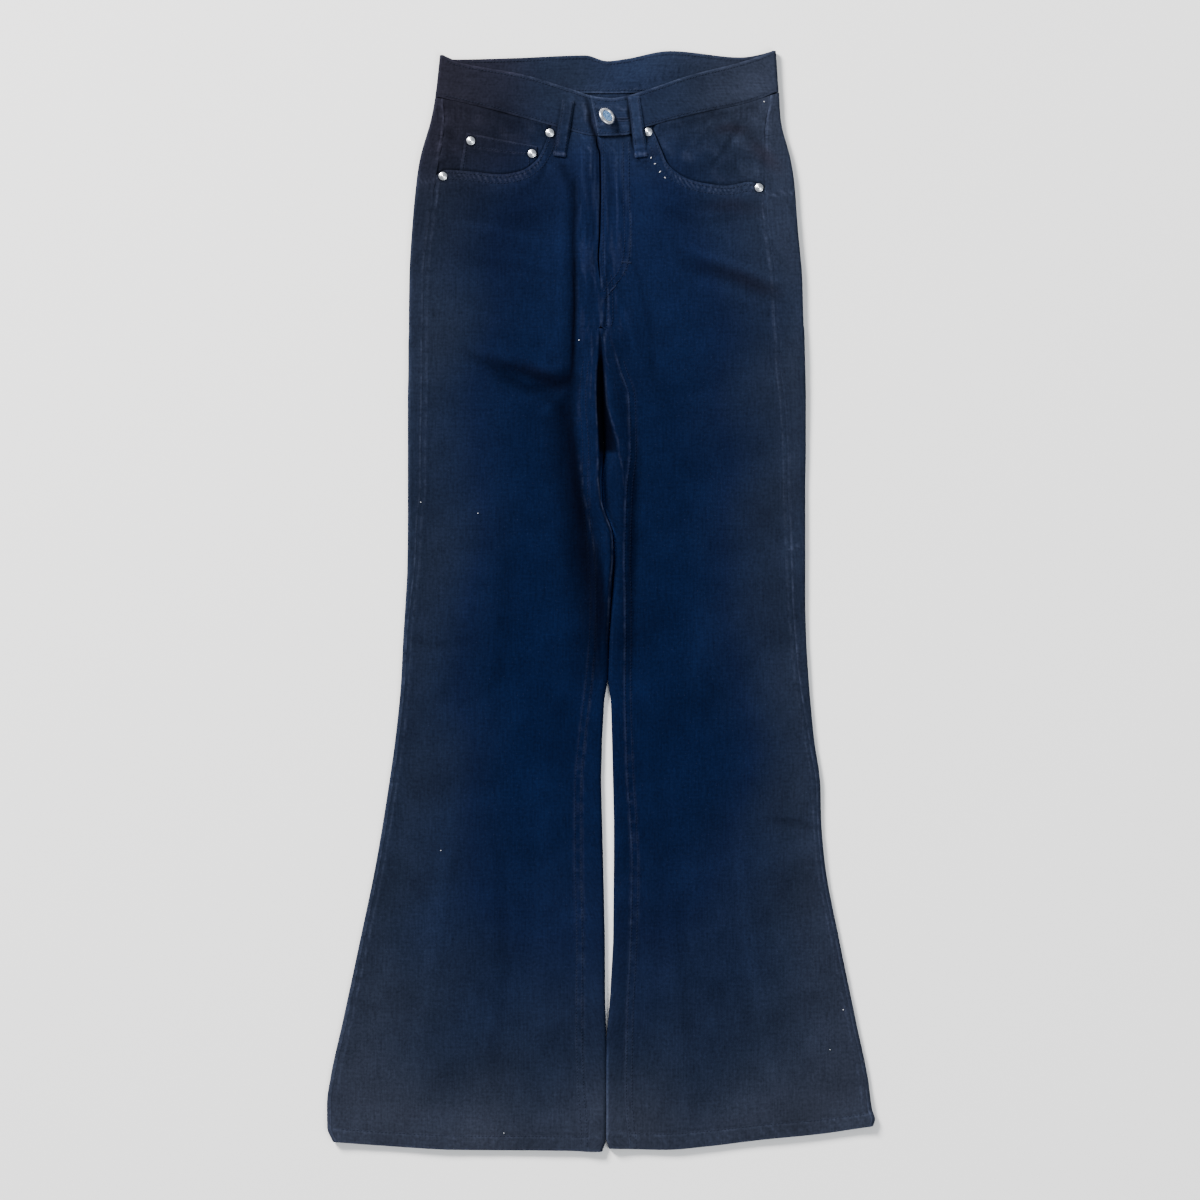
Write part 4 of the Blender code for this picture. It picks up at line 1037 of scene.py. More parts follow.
def fill_mesh(mesh: bpy.types.Mesh, points: Array, faces: NDArray[np.int64]) -> None:
    """Puts points (n, 3) and faces (m, corners) into an empty mesh.

    Args:
        mesh: The empty mesh.
        points: Places in metres, one to a row.
        faces: Vertex numbers, one face to a row.
    """
    mesh.vertices.add(len(points))
    mesh.vertices.foreach_set("co", points.astype(np.float32).ravel())
    mesh.loops.add(faces.size)
    mesh.loops.foreach_set("vertex_index", faces.astype(np.int32).ravel())
    mesh.polygons.add(len(faces))
    mesh.polygons.foreach_set("loop_start", np.arange(0, faces.size, faces.shape[1], dtype=np.int32))
    mesh.update(calc_edges=True)
    mesh.shade_smooth()


def add_fact(mesh: bpy.types.Mesh, name: str, values: Array) -> None:
    """Stores one number for each vertex under a name that the finishes read."""
    fact = mesh.attributes.new(name, "FLOAT", "POINT")
    fact.data.foreach_set("value", values.astype(np.float32).ravel())


def add_piece(name: str, mesh: bpy.types.Mesh, material: Material) -> bpy.types.Object:
    """Links a mesh to the scene as a piece with one material.

    Args:
        name: The piece's name.
        mesh: Its mesh.
        material: Its finish.

    Returns:
        The object.
    """
    piece = bpy.data.objects.new(name, mesh)
    bpy.context.scene.collection.objects.link(piece)
    mesh.materials.append(material)
    return piece


def grid_shares(rows: int, columns: int) -> tuple[Array, Array]:
    """Even shares, 0 to 1, of the way across (one row) and down (one column) of a grid."""
    return np.linspace(0.0, 1.0, columns)[None, :], np.linspace(0.0, 1.0, rows)[:, None]


def rimmed(values: Array) -> Array:
    """Adds a row and a column close beside each border of a grid, so that cut edges look crisp.

    Args:
        values: The grid, rows by columns.

    Returns:
        The grid, larger by two rows and two columns.
    """
    for axis in (0, 1):
        rows = np.moveaxis(values, axis, 0)
        first = rows[:1] + RIM * (rows[1:2] - rows[:1])
        last = rows[-1:] + RIM * (rows[-2:-1] - rows[-1:])
        values = np.moveaxis(np.concatenate((rows[:1], first, rows[1:-1], last, rows[-1:])), 0, axis)
    return values


def rimmed_faces(cells: NDArray[np.bool_]) -> tuple[NDArray[np.int64], NDArray[np.int64]]:
    """Square faces on a grid that has been given its rims.

    Args:
        cells: Which cells of the grid, before its rims, are cloth.

    Returns:
        Numbers of the places in use, and the faces as places in that list.
    """
    wide = np.pad(cells, 1, "edge")
    columns = wide.shape[1] + 1
    row, column = np.nonzero(wide)
    first = row * columns + column
    corners = np.stack((first, first + columns, first + columns + 1, first + 1), axis=-1)
    used, faces = np.unique(corners, return_inverse=True)
    return used, faces.reshape(corners.shape)


def add_wall(piece: bpy.types.Object, thickness: float, hem: list[int]) -> None:
    """Gives an outer face its wall, inwards, which is thicker along a turned hem.

    Args:
        piece: The piece.
        thickness: Wall thickness in millimetres.
        hem: Vertices of the hem, if it has one.
    """
    wall = piece.modifiers.new("wall", "SOLIDIFY")
    wall.offset = -1.0
    wall.thickness = thickness * MM
    if hem:
        piece.vertex_groups.new(name="hem").add(hem, 1.0, "REPLACE")
        wall.thickness = HEM_CLOTH * MM
        wall.vertex_group = "hem"
        wall.thickness_vertex_group = thickness / HEM_CLOTH


def turned(profile: tuple[tuple[float, float], ...], steps: int) -> tuple[Array, NDArray[np.int64]]:
    """A turned surface: the profile's (radius, height) rows carried round the axis.

    A place is (r cos a, r sin a, h). The first and last profile points lie on the axis, so each is a
    fan of thin triangles that meets in one place.

    Args:
        profile: The rows, from the top of the axis round to its foot.
        steps: Number of places in each ring.

    Returns:
        Points in the profile's unit and triangle faces.
    """
    radius, height = np.array(profile).T[..., None]
    angle = np.linspace(0.0, 2.0 * pi, steps, endpoint=False)
    rings = np.stack(np.broadcast_arrays(radius * np.cos(angle), radius * np.sin(angle), height), axis=-1)
    points = np.concatenate((rings[1:-1].reshape(-1, 3), rings[0, :1], rings[-1, :1]))
    here = np.arange(steps)
    after = (here + 1) % steps
    base = (len(rings) - 3) * steps
    top, foot = np.full(steps, base + steps), np.full(steps, base + steps + 1)
    faces = [np.stack((top, here, after), axis=-1)]
    for upper in range(0, base, steps):
        lower = upper + steps
        faces.append(np.stack((upper + here, lower + here, lower + after), axis=-1))
        faces.append(np.stack((upper + here, lower + after, upper + after), axis=-1))
    faces.append(np.stack((base + here, foot, base + after), axis=-1))
    return points, np.concatenate(faces)


# --------------------------------------------------------------------------------------- finishes


class Slot(Enum):
    """The record's material slots."""

    DENIM = "denim"
    FACING = "denim_facing"
    STEEL = "steel"


class NodeBoard:
    """A short hand for building node trees: nodes by type with values, and links by name."""

    def __init__(self, tree: bpy.types.NodeTree) -> None:
        """Starts on a tree."""
        self.tree = tree

    def node(self, kind: str, values: dict[str | int, object] | None = None,
             **settings: object) -> bpy.types.Node:
        """Adds a node, sets its settings, and sets or links its inputs.

        Args:
            kind: The node's type name.
            values: For each input's name or number, a value, or the output socket that feeds it.
            settings: Attributes of the node.

        Returns:
            The node.
        """
        made = self.tree.nodes.new(kind)
        for name, value in settings.items():
            setattr(made, name, value)
        for name, value in (values or {}).items():
            if isinstance(value, Socket):
                self.tree.links.new(value, made.inputs[name])
            else:
                made.inputs[name].default_value = value
        return made

    def math(self, operation: str, *terms: object, clamp: bool = False) -> Socket:
        """A Math node's output, from its operation and its one to three terms."""
        values = dict(enumerate(terms))
        return self.node("ShaderNodeMath", values, operation=operation, use_clamp=clamp).outputs[0]

    def times(self, first: object, second: object, added: object | None = None) -> Socket:
        """Two terms multiplied, with a third added where it is given.

        Args:
            first: The first factor.
            second: The second factor.
            added: What is added, if anything.

        Returns:
            The node's output.
        """
        if added is None:
            return self.math("MULTIPLY", first, second)
        return self.math("MULTIPLY_ADD", first, second, added)

    def mix(self, factor: object, first: object, second: object, blend: str = "MIX") -> Socket:
        """A colour between two, by a factor, or one multiplied by the other."""
        values = {0: factor, 6: first, 7: second}
        return self.node("ShaderNodeMix", values, data_type="RGBA", blend_type=blend).outputs[2]

    def noise(self, vector: Socket, scale: float, detail: float, roughness: float = 0.5) -> Socket:
        """A Noise texture's even value, about 0.5."""
        values = {"Vector": vector, "Scale": scale, "Detail": detail, "Roughness": roughness}
        return self.node("ShaderNodeTexNoise", values).outputs["Fac"]

    def spread(self, value: Socket, low: float, high: float) -> Socket:
        """A value mapped so that low becomes 0 and high becomes 1, and clamped."""
        return self.node("ShaderNodeMapRange", {0: value, 1: low, 2: high}).outputs[0]

    def group(self, tree: bpy.types.NodeTree, values: dict[str, object]) -> bpy.types.NodeOutputs:
        """The outputs of a node group placed with its own values."""
        return self.node("ShaderNodeGroup", values, node_tree=tree).outputs


class GroupBoard(NodeBoard):
    """A new shader node group with named sockets."""

    def __init__(self, name: str, given: dict[str, float | None], results: tuple[str, ...]) -> None:
        """Makes the group.

        Args:
            name: The group's name.
            given: Each input's first value, or None for a vector.
            results: Names of the outputs, which are values.
        """
        group = bpy.data.node_groups.new(name, "ShaderNodeTree")
        for label, value in given.items():
            kind = "NodeSocketVector" if value is None else "NodeSocketFloat"
            socket = group.interface.new_socket(label, in_out="INPUT", socket_type=kind)
            if value is not None:
                socket.default_value = value
        for label in results:
            group.interface.new_socket(label, in_out="OUTPUT", socket_type="NodeSocketFloat")
        super().__init__(group)
        self.given = self.node("NodeGroupInput").outputs
        self.results = self.node("NodeGroupOutput").inputs

    def put(self, label: str, value: Socket) -> None:
        """Links a value to one of the group's outputs."""
        self.tree.links.new(value, self.results[label])


class FinishBoard(NodeBoard):
    """A new material with its Principled shader."""

    def __init__(self, name: str, **constants: object) -> None:
        """Makes the material and sets constants on the shader's own sockets, by name with _ for spaces."""
        self.material = bpy.data.materials.new(name)
        self.material.use_nodes = True
        super().__init__(self.material.node_tree)
        self.inputs = self.tree.nodes["Principled BSDF"].inputs
        for label, value in constants.items():
            self.inputs[label.replace("_", " ")].default_value = value

    def fact(self, name: str) -> Socket:
        """One of the numbers stored for each vertex."""
        return self.node("ShaderNodeAttribute", attribute_name=name).outputs["Fac"]

    def place(self, kind: str = "Object") -> Socket:
        """A texture coordinate."""
        return self.node("ShaderNodeTexCoord").outputs[kind]

    def colour(self, colour: object, level: Socket) -> None:
        """Feeds the base colour: a colour scaled by a level."""
        scaled = self.node("ShaderNodeVectorMath", {0: colour, "Scale": level}, operation="SCALE")
        self.tree.links.new(scaled.outputs[0], self.inputs["Base Color"])

    def rough(self, value: Socket) -> None:
        """Feeds the roughness."""
        self.tree.links.new(value, self.inputs["Roughness"])

    def relief(self, height: Socket, strength: float, distance: float) -> None:
        """Feeds the normal through a Bump node."""
        bent = self.node("ShaderNodeBump", {"Height": height, "Strength": strength, "Distance": distance})
        self.tree.links.new(bent.outputs[0], self.inputs["Normal"])


def make_twill_group() -> bpy.types.NodeTree:
    """Twill weave from cloth coordinates: slanting ribs, broken into floats by the crossing weft.

    The rib is a sine of across + 0.62 along, the float a sine along the warp that steps with the rib;
    both are bent by noise so that no two ribs are the same.

    Returns:
        The group, whose Height is 0 to 1.
    """
    board = GroupBoard("twill_weave", {"Vector": None, "Ribs": 1150.0}, ("Height",))
    vector, count = board.given["Vector"], board.given["Ribs"]
    bend = board.noise(vector, 140.0, 2.0)
    place = board.node("ShaderNodeSeparateXYZ", {0: vector}).outputs
    rib = board.times(board.times(place["Y"], 0.62, place["X"]), count)
    ribs = board.math("SINE", board.times(board.times(bend, 2.5, rib), 2.0 * pi))
    floats = board.times(place["X"], 620.0, board.times(place["Y"], count))
    crossing = board.math("SINE", board.times(floats, 2.0 * pi))
    board.put("Height", board.times(board.times(crossing, 0.35, ribs), 0.5, 0.5))
    return board.tree


def make_heather_group() -> bpy.types.NodeTree:
    """Uneven dye of washed cloth: warp streaks, weft slubs, fine grain and broad clouds.

    Shade is 1 plus each noise, less its mean, times its own strength. Fleck is a sparse mask of pale
    fibre ends.

    Returns:
        The group.
    """
    strengths = {"Vector": None, "Streaks": 0.7, "Slubs": 0.35, "Grain": 1.0, "Clouds": 0.38}
    board = GroupBoard("heather", strengths, ("Shade", "Fleck"))
    vector = board.given["Vector"]
    stretched = {
        "Streaks": ((620.0, 42.0, 1.0), 1.0, 3.0),
        "Slubs": ((48.0, 520.0, 1.0), 1.0, 3.0),
        "Grain": ((1.0, 1.0, 1.0), 380.0, 2.0),
        "Clouds": ((1.0, 0.8, 1.0), 55.0, 3.0),
    }
    shade: object = 1.0
    for label, (scale, size, detail) in stretched.items():
        placed = board.node("ShaderNodeMapping", {"Vector": vector, "Scale": scale}).outputs[0]
        even = board.math("SUBTRACT", board.noise(placed, size, detail, 0.6), 0.5)
        shade = board.times(even, board.given[label], shade)
    board.put("Shade", shade)
    board.put("Fleck", board.spread(board.noise(vector, 900.0, 1.0), 0.70, 0.80))
    return board.tree


@dataclass(frozen=True)
class Denim:
    """Washed twill: greyed by its tone, paler where worn and where highlights are painted, darker where
    painted shade lies in its folds.

    The faces that look down, on the hidden side, keep out of the front's painted shadows.
    """

    name: str
    middle: tuple[float, float, float] = (0.0018, 0.0045, 0.0195)
    navy: tuple[float, float, float] = (0.0031, 0.0062, 0.0211)
    slate: tuple[float, float, float] = (0.0074, 0.0110, 0.0226)
    grey: tuple[float, float, float] = (0.0165, 0.0195, 0.0306)
    worn_and_lit: tuple[float, float, float] = (0.0450, 0.0550, 0.0950)
    brown: tuple[float, float, float] = (1.03, 0.83, 0.79)
    sheen: tuple[float, float, float] = (0.55, 0.66, 1.0)
    worn_and_lit_share: float = 0.42
    dark: float = 0.55
    gain: float = 1.0
    ribs: float = 1150.0
    relief: float = 0.16
    relief_depth: float = 0.0006
    weave_dark: float = 0.30
    fleck_share: float = 0.22
    roughness: float = 0.86
    facing_down: tuple[float, float] = (-0.6, -0.1)

    def dye_and_sheen(self, board: FinishBoard) -> Socket:
        """The base colour: a ramp by tone from the dark middle of the garment to its grey edges, whose grey
        is partly painted sheen.

        Args:
            board: The material's board.

        Returns:
            The colour.
        """
        ramp = board.node("ShaderNodeValToRGB", {0: board.fact("tone")})
        stops = ramp.color_ramp.elements
        for place in (0.32, 0.66):
            stops.new(place)
        for stop, colour in zip(stops, (self.middle, self.navy, self.slate, self.grey)):
            stop.color = (*(self.gain * part for part in colour), 1.0)
        return ramp.outputs[0]

    def build(self, twill: bpy.types.NodeTree, heather: bpy.types.NodeTree) -> Material:
        """Makes the material.

        Args:
            twill: The weave's node group.
            heather: The uneven dye's node group.

        Returns:
            The material.
        """
        board = FinishBoard(self.name, Specular_IOR_Level=0.01, Sheen_Weight=0.01, Sheen_Roughness=0.5,
                            Sheen_Tint=(*self.sheen, 1.0))
        cloth = board.node("ShaderNodeUVMap", uv_map="cloth").outputs[0]
        uneven = board.group(heather, {"Vector": cloth})
        weave = board.group(twill, {"Vector": cloth, "Ribs": self.ribs})["Height"]
        wear_and_painted_light = board.fact("wear_and_painted_light")
        # Painted shade and light: the shade fact scales the colour, on faces that look up only
        height = board.node("ShaderNodeSeparateXYZ", {0: board.place("Normal")}).outputs["Z"]
        lost = board.math("SUBTRACT", board.fact("shade"), 1.0)
        shade = board.times(lost, board.spread(height, *self.facing_down), 1.0)
        # Positive values of the wear fact pale the colour: real wear and painted highlights
        paler = board.math("MULTIPLY", wear_and_painted_light, uneven["Shade"], clamp=True)
        paler = board.times(uneven["Fleck"], self.fleck_share, board.times(paler, self.worn_and_lit_share))
        coloured = board.mix(paler, self.dye_and_sheen(board), (*self.worn_and_lit, 1.0))
        # A brown tint, mostly over the painted shadows
        coloured = board.mix(board.fact("warm"), coloured, (*self.brown, 1.0), "MULTIPLY")
        # Negative values darken it: dark lines and painted shade
        darker = board.times(board.math("MINIMUM", wear_and_painted_light, 0.0), self.dark, 1.0)
        woven = board.times(weave, self.weave_dark, 1.0 - self.weave_dark / 2)
        level = board.times(board.times(darker, shade), woven)
        board.colour(coloured, board.times(level, uneven["Shade"]))
        board.relief(board.times(uneven["Shade"], 0.6, weave), self.relief, self.relief_depth)
        board.rough(board.times(uneven["Fleck"], 0.05, self.roughness))
        return board.material


@dataclass(frozen=True)
class Yarn:
    """Sewing thread of nearly the cloth's own colour."""

    name: str = "thread"
    dark: tuple[float, float, float] = (0.0055, 0.0095, 0.0300)
    pale: tuple[float, float, float] = (0.0190, 0.0235, 0.0400)

    def build(self) -> Material:
        """Makes the material: greyed by tone, darkened by the painted shade of the cloth under it, with the
        ply's fine noise.

        Returns:
            The material.
        """
        board = FinishBoard(self.name, Roughness=0.8, Specular_IOR_Level=0.03)
        ply = board.noise(board.place(), 2600.0, 2.0)
        colour = board.mix(board.fact("tone"), (*self.dark, 1.0), (*self.pale, 1.0))
        board.colour(colour, board.times(board.fact("shade"), board.times(ply, 0.8, 0.6)))
        board.relief(ply, 0.4, 0.0002)
        return board.material


@dataclass(frozen=True)
class Metal:
    """Polished metal with faint rubbing marks."""

    name: str
    metal: tuple[float, float, float]
    roughness: float
    mottle: float = 0.12

    def build(self) -> Material:
        """Makes the material: noise on Object coordinates varies its colour, gloss and relief.

        Returns:
            The material.
        """
        board = FinishBoard(self.name, Metallic=1.0)
        marks = board.noise(board.place(), 900.0, 4.0, 0.65)
        board.colour(self.metal, board.times(marks, 2.0 * self.mottle, 1.0 - self.mottle))
        board.rough(board.times(marks, 0.25, self.roughness - 0.1))
        board.relief(marks, 0.25, 0.0001)
        return board.material


@dataclass(frozen=True)
class Plain:
    """A matt pale surface with faint clouds, for the floor and the lint."""

    name: str
    colour: tuple[float, float, float]
    clouds: float = 0.02
    size: float = 3.0

    def build(self) -> Material:
        """Makes the material from one broad noise on Object coordinates.

        Returns:
            The material.
        """
        board = FinishBoard(self.name, Roughness=0.9, Specular_IOR_Level=0.1)
        clouds = board.noise(board.place(), self.size, 3.0)
        board.colour(self.colour, board.times(clouds, self.clouds, 1.0 - self.clouds))
        return board.material


@dataclass(frozen=True)
class Finishes:
    """The garment's finishes, built once."""

    denim: Material
    band: Material
    facing: Material
    thread: Material
    steel: Material
    disc: Material
    lint: Material
    floor: Material

    @classmethod
    def make(cls) -> "Finishes":
        """Builds the node groups and every finish.

        Returns:
            The finishes.
        """
        twill, heather = make_twill_group(), make_heather_group()
        return cls(
            denim=Denim("denim_cloth").build(twill, heather),
            band=Denim("denim_band", gain=1.06).build(twill, heather),
            facing=Denim("denim_pocket", gain=0.95, worn_and_lit_share=0.3).build(twill, heather),
            thread=Yarn().build(),
            steel=Metal("polished_steel", (0.66, 0.69, 0.74), 0.28).build(),
            disc=Metal("blued_steel", (0.27, 0.50, 0.86), 0.45, 0.28).build(),
            lint=Plain("lint_fibre", (0.72, 0.74, 0.78), 0.3, 900.0).build(),
            floor=Plain("pale_floor", (0.95, 0.95, 0.95)).build(),
        )


# ------------------------------------------------------------------------------------ sub-assemblies


@dataclass(frozen=True)
class Cut:
    """The flat size a piece was cut to, in metres."""

    width: float
    length: float
    area: float | None = None


def enter(piece: bpy.types.Object, nodes: tuple[str, ...], slot: Slot) -> None:
    """Enters a piece: it rides on the body and stands for its nodes.

    Args:
        piece: The object.
        nodes: The nodes of the frame that it stands for.
        slot: Not used.
    """
    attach(piece, "root")
    if nodes:
        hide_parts(*nodes)
    log.info("%s: %d faces", piece.name, len(piece.data.polygons))


@dataclass(frozen=True)
class ClothWork:
    """A sub-assembly of cloth pieces on the garment's form."""

    form: JeansForm

    def sew(self, node: str, sheet: Sheet, material: Material, cut: Cut, rests_on: tuple[str, ...],
            flip: bool = False, thickness: float = CLOTH, thick_rows: int = 0,
            slot: Slot = Slot.DENIM) -> None:
        """Makes and enters a wall of cloth: the sheet's outer face, with Solidify inwards.

        Args:
            node: The node of the frame that it stands for, which names it.
            sheet: The outer face.
            material: The finish.
            cut: Not used.
            rests_on: Not used.
            flip: Whether the columns are turned round so that the face looks outwards.
            thickness: Wall thickness in millimetres.
            thick_rows: How many of the last rows carry a turned hem.
            slot: The record's material slot.
        """
        down = sheet.level if sheet.down is None else sheet.down
        along = down if sheet.along is None else sheet.along
        places = spot(sheet.x, down, sheet.high)
        cloth = np.stack(np.broadcast_arrays(sheet.across, along), axis=-1) * MM
        shade = self.form.shade(sheet.x, sheet.level) if sheet.shade is None else sheet.shade
        grids = [places, cloth, self.form.tone(sheet.x, sheet.level), sheet.wear_and_painted_light, shade]
        cells = np.ones(np.subtract(places.shape[:2], 1), dtype=bool) if sheet.cells is None else sheet.cells
        if flip:
            grids, cells = [grid[:, ::-1] for grid in grids], cells[:, ::-1]
        places, cloth, tone, wear_and_painted_light, shade = map(rimmed, grids)
        warm = self.form.warmth(places[..., 0] / MM, HALF_LENGTH - places[..., 1] / MM)
        used, faces = rimmed_faces(cells)
        mesh = bpy.data.meshes.new(f"{node}_cloth")
        fill_mesh(mesh, places.reshape(-1, 3)[used], faces)
        layer = mesh.uv_layers.new(name="cloth")
        layer.data.foreach_set("uv", cloth.reshape(-1, 2)[used][faces.ravel()].astype(np.float32).ravel())
        for fact, values in (("tone", tone), ("wear_and_painted_light", wear_and_painted_light), ("shade", shade), ("warm", warm)):
            add_fact(mesh, fact, values.ravel()[used])
        piece = add_piece(mesh.name, mesh, material)
        rows, columns = tone.shape
        add_wall(piece, thickness, np.nonzero(used // columns > rows - thick_rows)[0].tolist())
        enter(piece, (node,), slot)


@dataclass(frozen=True)
class FrontPanels(ClothWork):
    """The two front panels, cut away along the pocket mouths."""

    row: float = 2.4
    top_rows: int = 32
    slot_width: float = 1.4
    reach: float = 1.0
    edge_drop: float = 0.3
    seam_drop: float = 0.12
    cuts: dict[Side, Cut] = field(default_factory=lambda: {
        Side.RIGHT: Cut(0.246, 0.965, 0.174), Side.LEFT: Cut(0.234, 0.965, 0.164)})

    def shares(self) -> Array:
        """Places across, from the inner edge to the outseam, closer where the mouth is steep."""
        stretches = ((0.0, 0.04, 6), (0.04, 0.29, 19), (0.29, 0.43, 22), (0.43, 0.95, 40), (0.95, 1.0, 7))
        return np.unique(np.concatenate([np.linspace(*stretch) for stretch in stretches]))

    def across(self, leg: Leg, level: Array) -> tuple[Array, Array, Array]:
        """Places across the panel, with a slot beside the right front's fly edge.

        Args:
            leg: The half of the garment.
            level: Nominal levels.

        Returns:
            The places, and the inner and the outer edge, all as out.
        """
        inner = leg.inseam(level) + leg.side * FLY_LINE(level) + HALF_GAP
        if leg.side is Side.RIGHT:
            inner = inner + self.slot_width * between(level, (78.0, 92.0), (198.0, 226.0))
        outer = leg.seam(level) - HALF_GAP
        return inner + (outer - inner) * self.shares(), inner, outer

    def rows(self, leg: Leg) -> tuple[Array, Array]:
        """Levels of the rows, which run level below the pockets and follow the mouth above.

        Args:
            leg: The half of the garment.

        Returns:
            The levels of every place, and the first row's.
        """
        corner = leg.mouth.points[-1][1]
        top = np.full(self.shares().shape, corner)
        for _ in range(4):
            out, _, _ = self.across(leg, top)
            top = np.where(out < leg.mouth_start, BAND_BOTTOM(leg.side * out) + GAP, leg.mouth(out))
        top[-1] = corner
        upper = top + (BLEND - top) * np.linspace(0.0, 1.0, self.top_rows)[:, None] ** 1.15
        lower = np.linspace(BLEND, leg.last, int((leg.last - BLEND) / self.row))[1:, None]
        return np.concatenate((upper, np.broadcast_to(lower, (len(lower), top.size)))), top

    def build(self, material: Material) -> None:
        """Makes both panels.

        Args:
            material: The finish.
        """
        for side, leg in self.form.legs.items():
            level, top = self.rows(leg)
            out, inner, outer = self.across(leg, level)
            ends = np.minimum(np.maximum(level - top, 0.0), leg.last - level)
            fly_fall = np.where(level < FLY_FOOT[0], self.edge_drop, self.seam_drop)
            fly_fall = fly_fall * (1.0 - between(level, FLY_FOOT, (262.0, 275.0)))
            falls = (
                edge_fall(ends, self.reach, self.edge_drop),
                edge_fall(out - inner, self.reach, fly_fall),
                edge_fall(outer - out, self.reach, self.seam_drop),
            )
            high = self.form.front(leg, out, level) - np.max(falls, axis=0)
            mouth = bump((level - top - 0.8) / 2.4) * (out > leg.mouth_start)
            wear_and_painted_light = self.form.wear_and_painted_light(leg, out, level) + 0.14 * mouth * (0.8 + 0.4 * waves(out, level, 42, 9.0))
            sheet = Sheet(side * out, level, high, wear_and_painted_light, out, along=level, down=leg.down(out, level))
            below = (f"back_panel_{side.word}", f"pocket_facing_{side.word}")
            self.sew(f"front_panel_{side.word}", sheet, material, self.cuts[side], below,
                     flip=side is Side.RIGHT, thick_rows=HEM_ROWS)


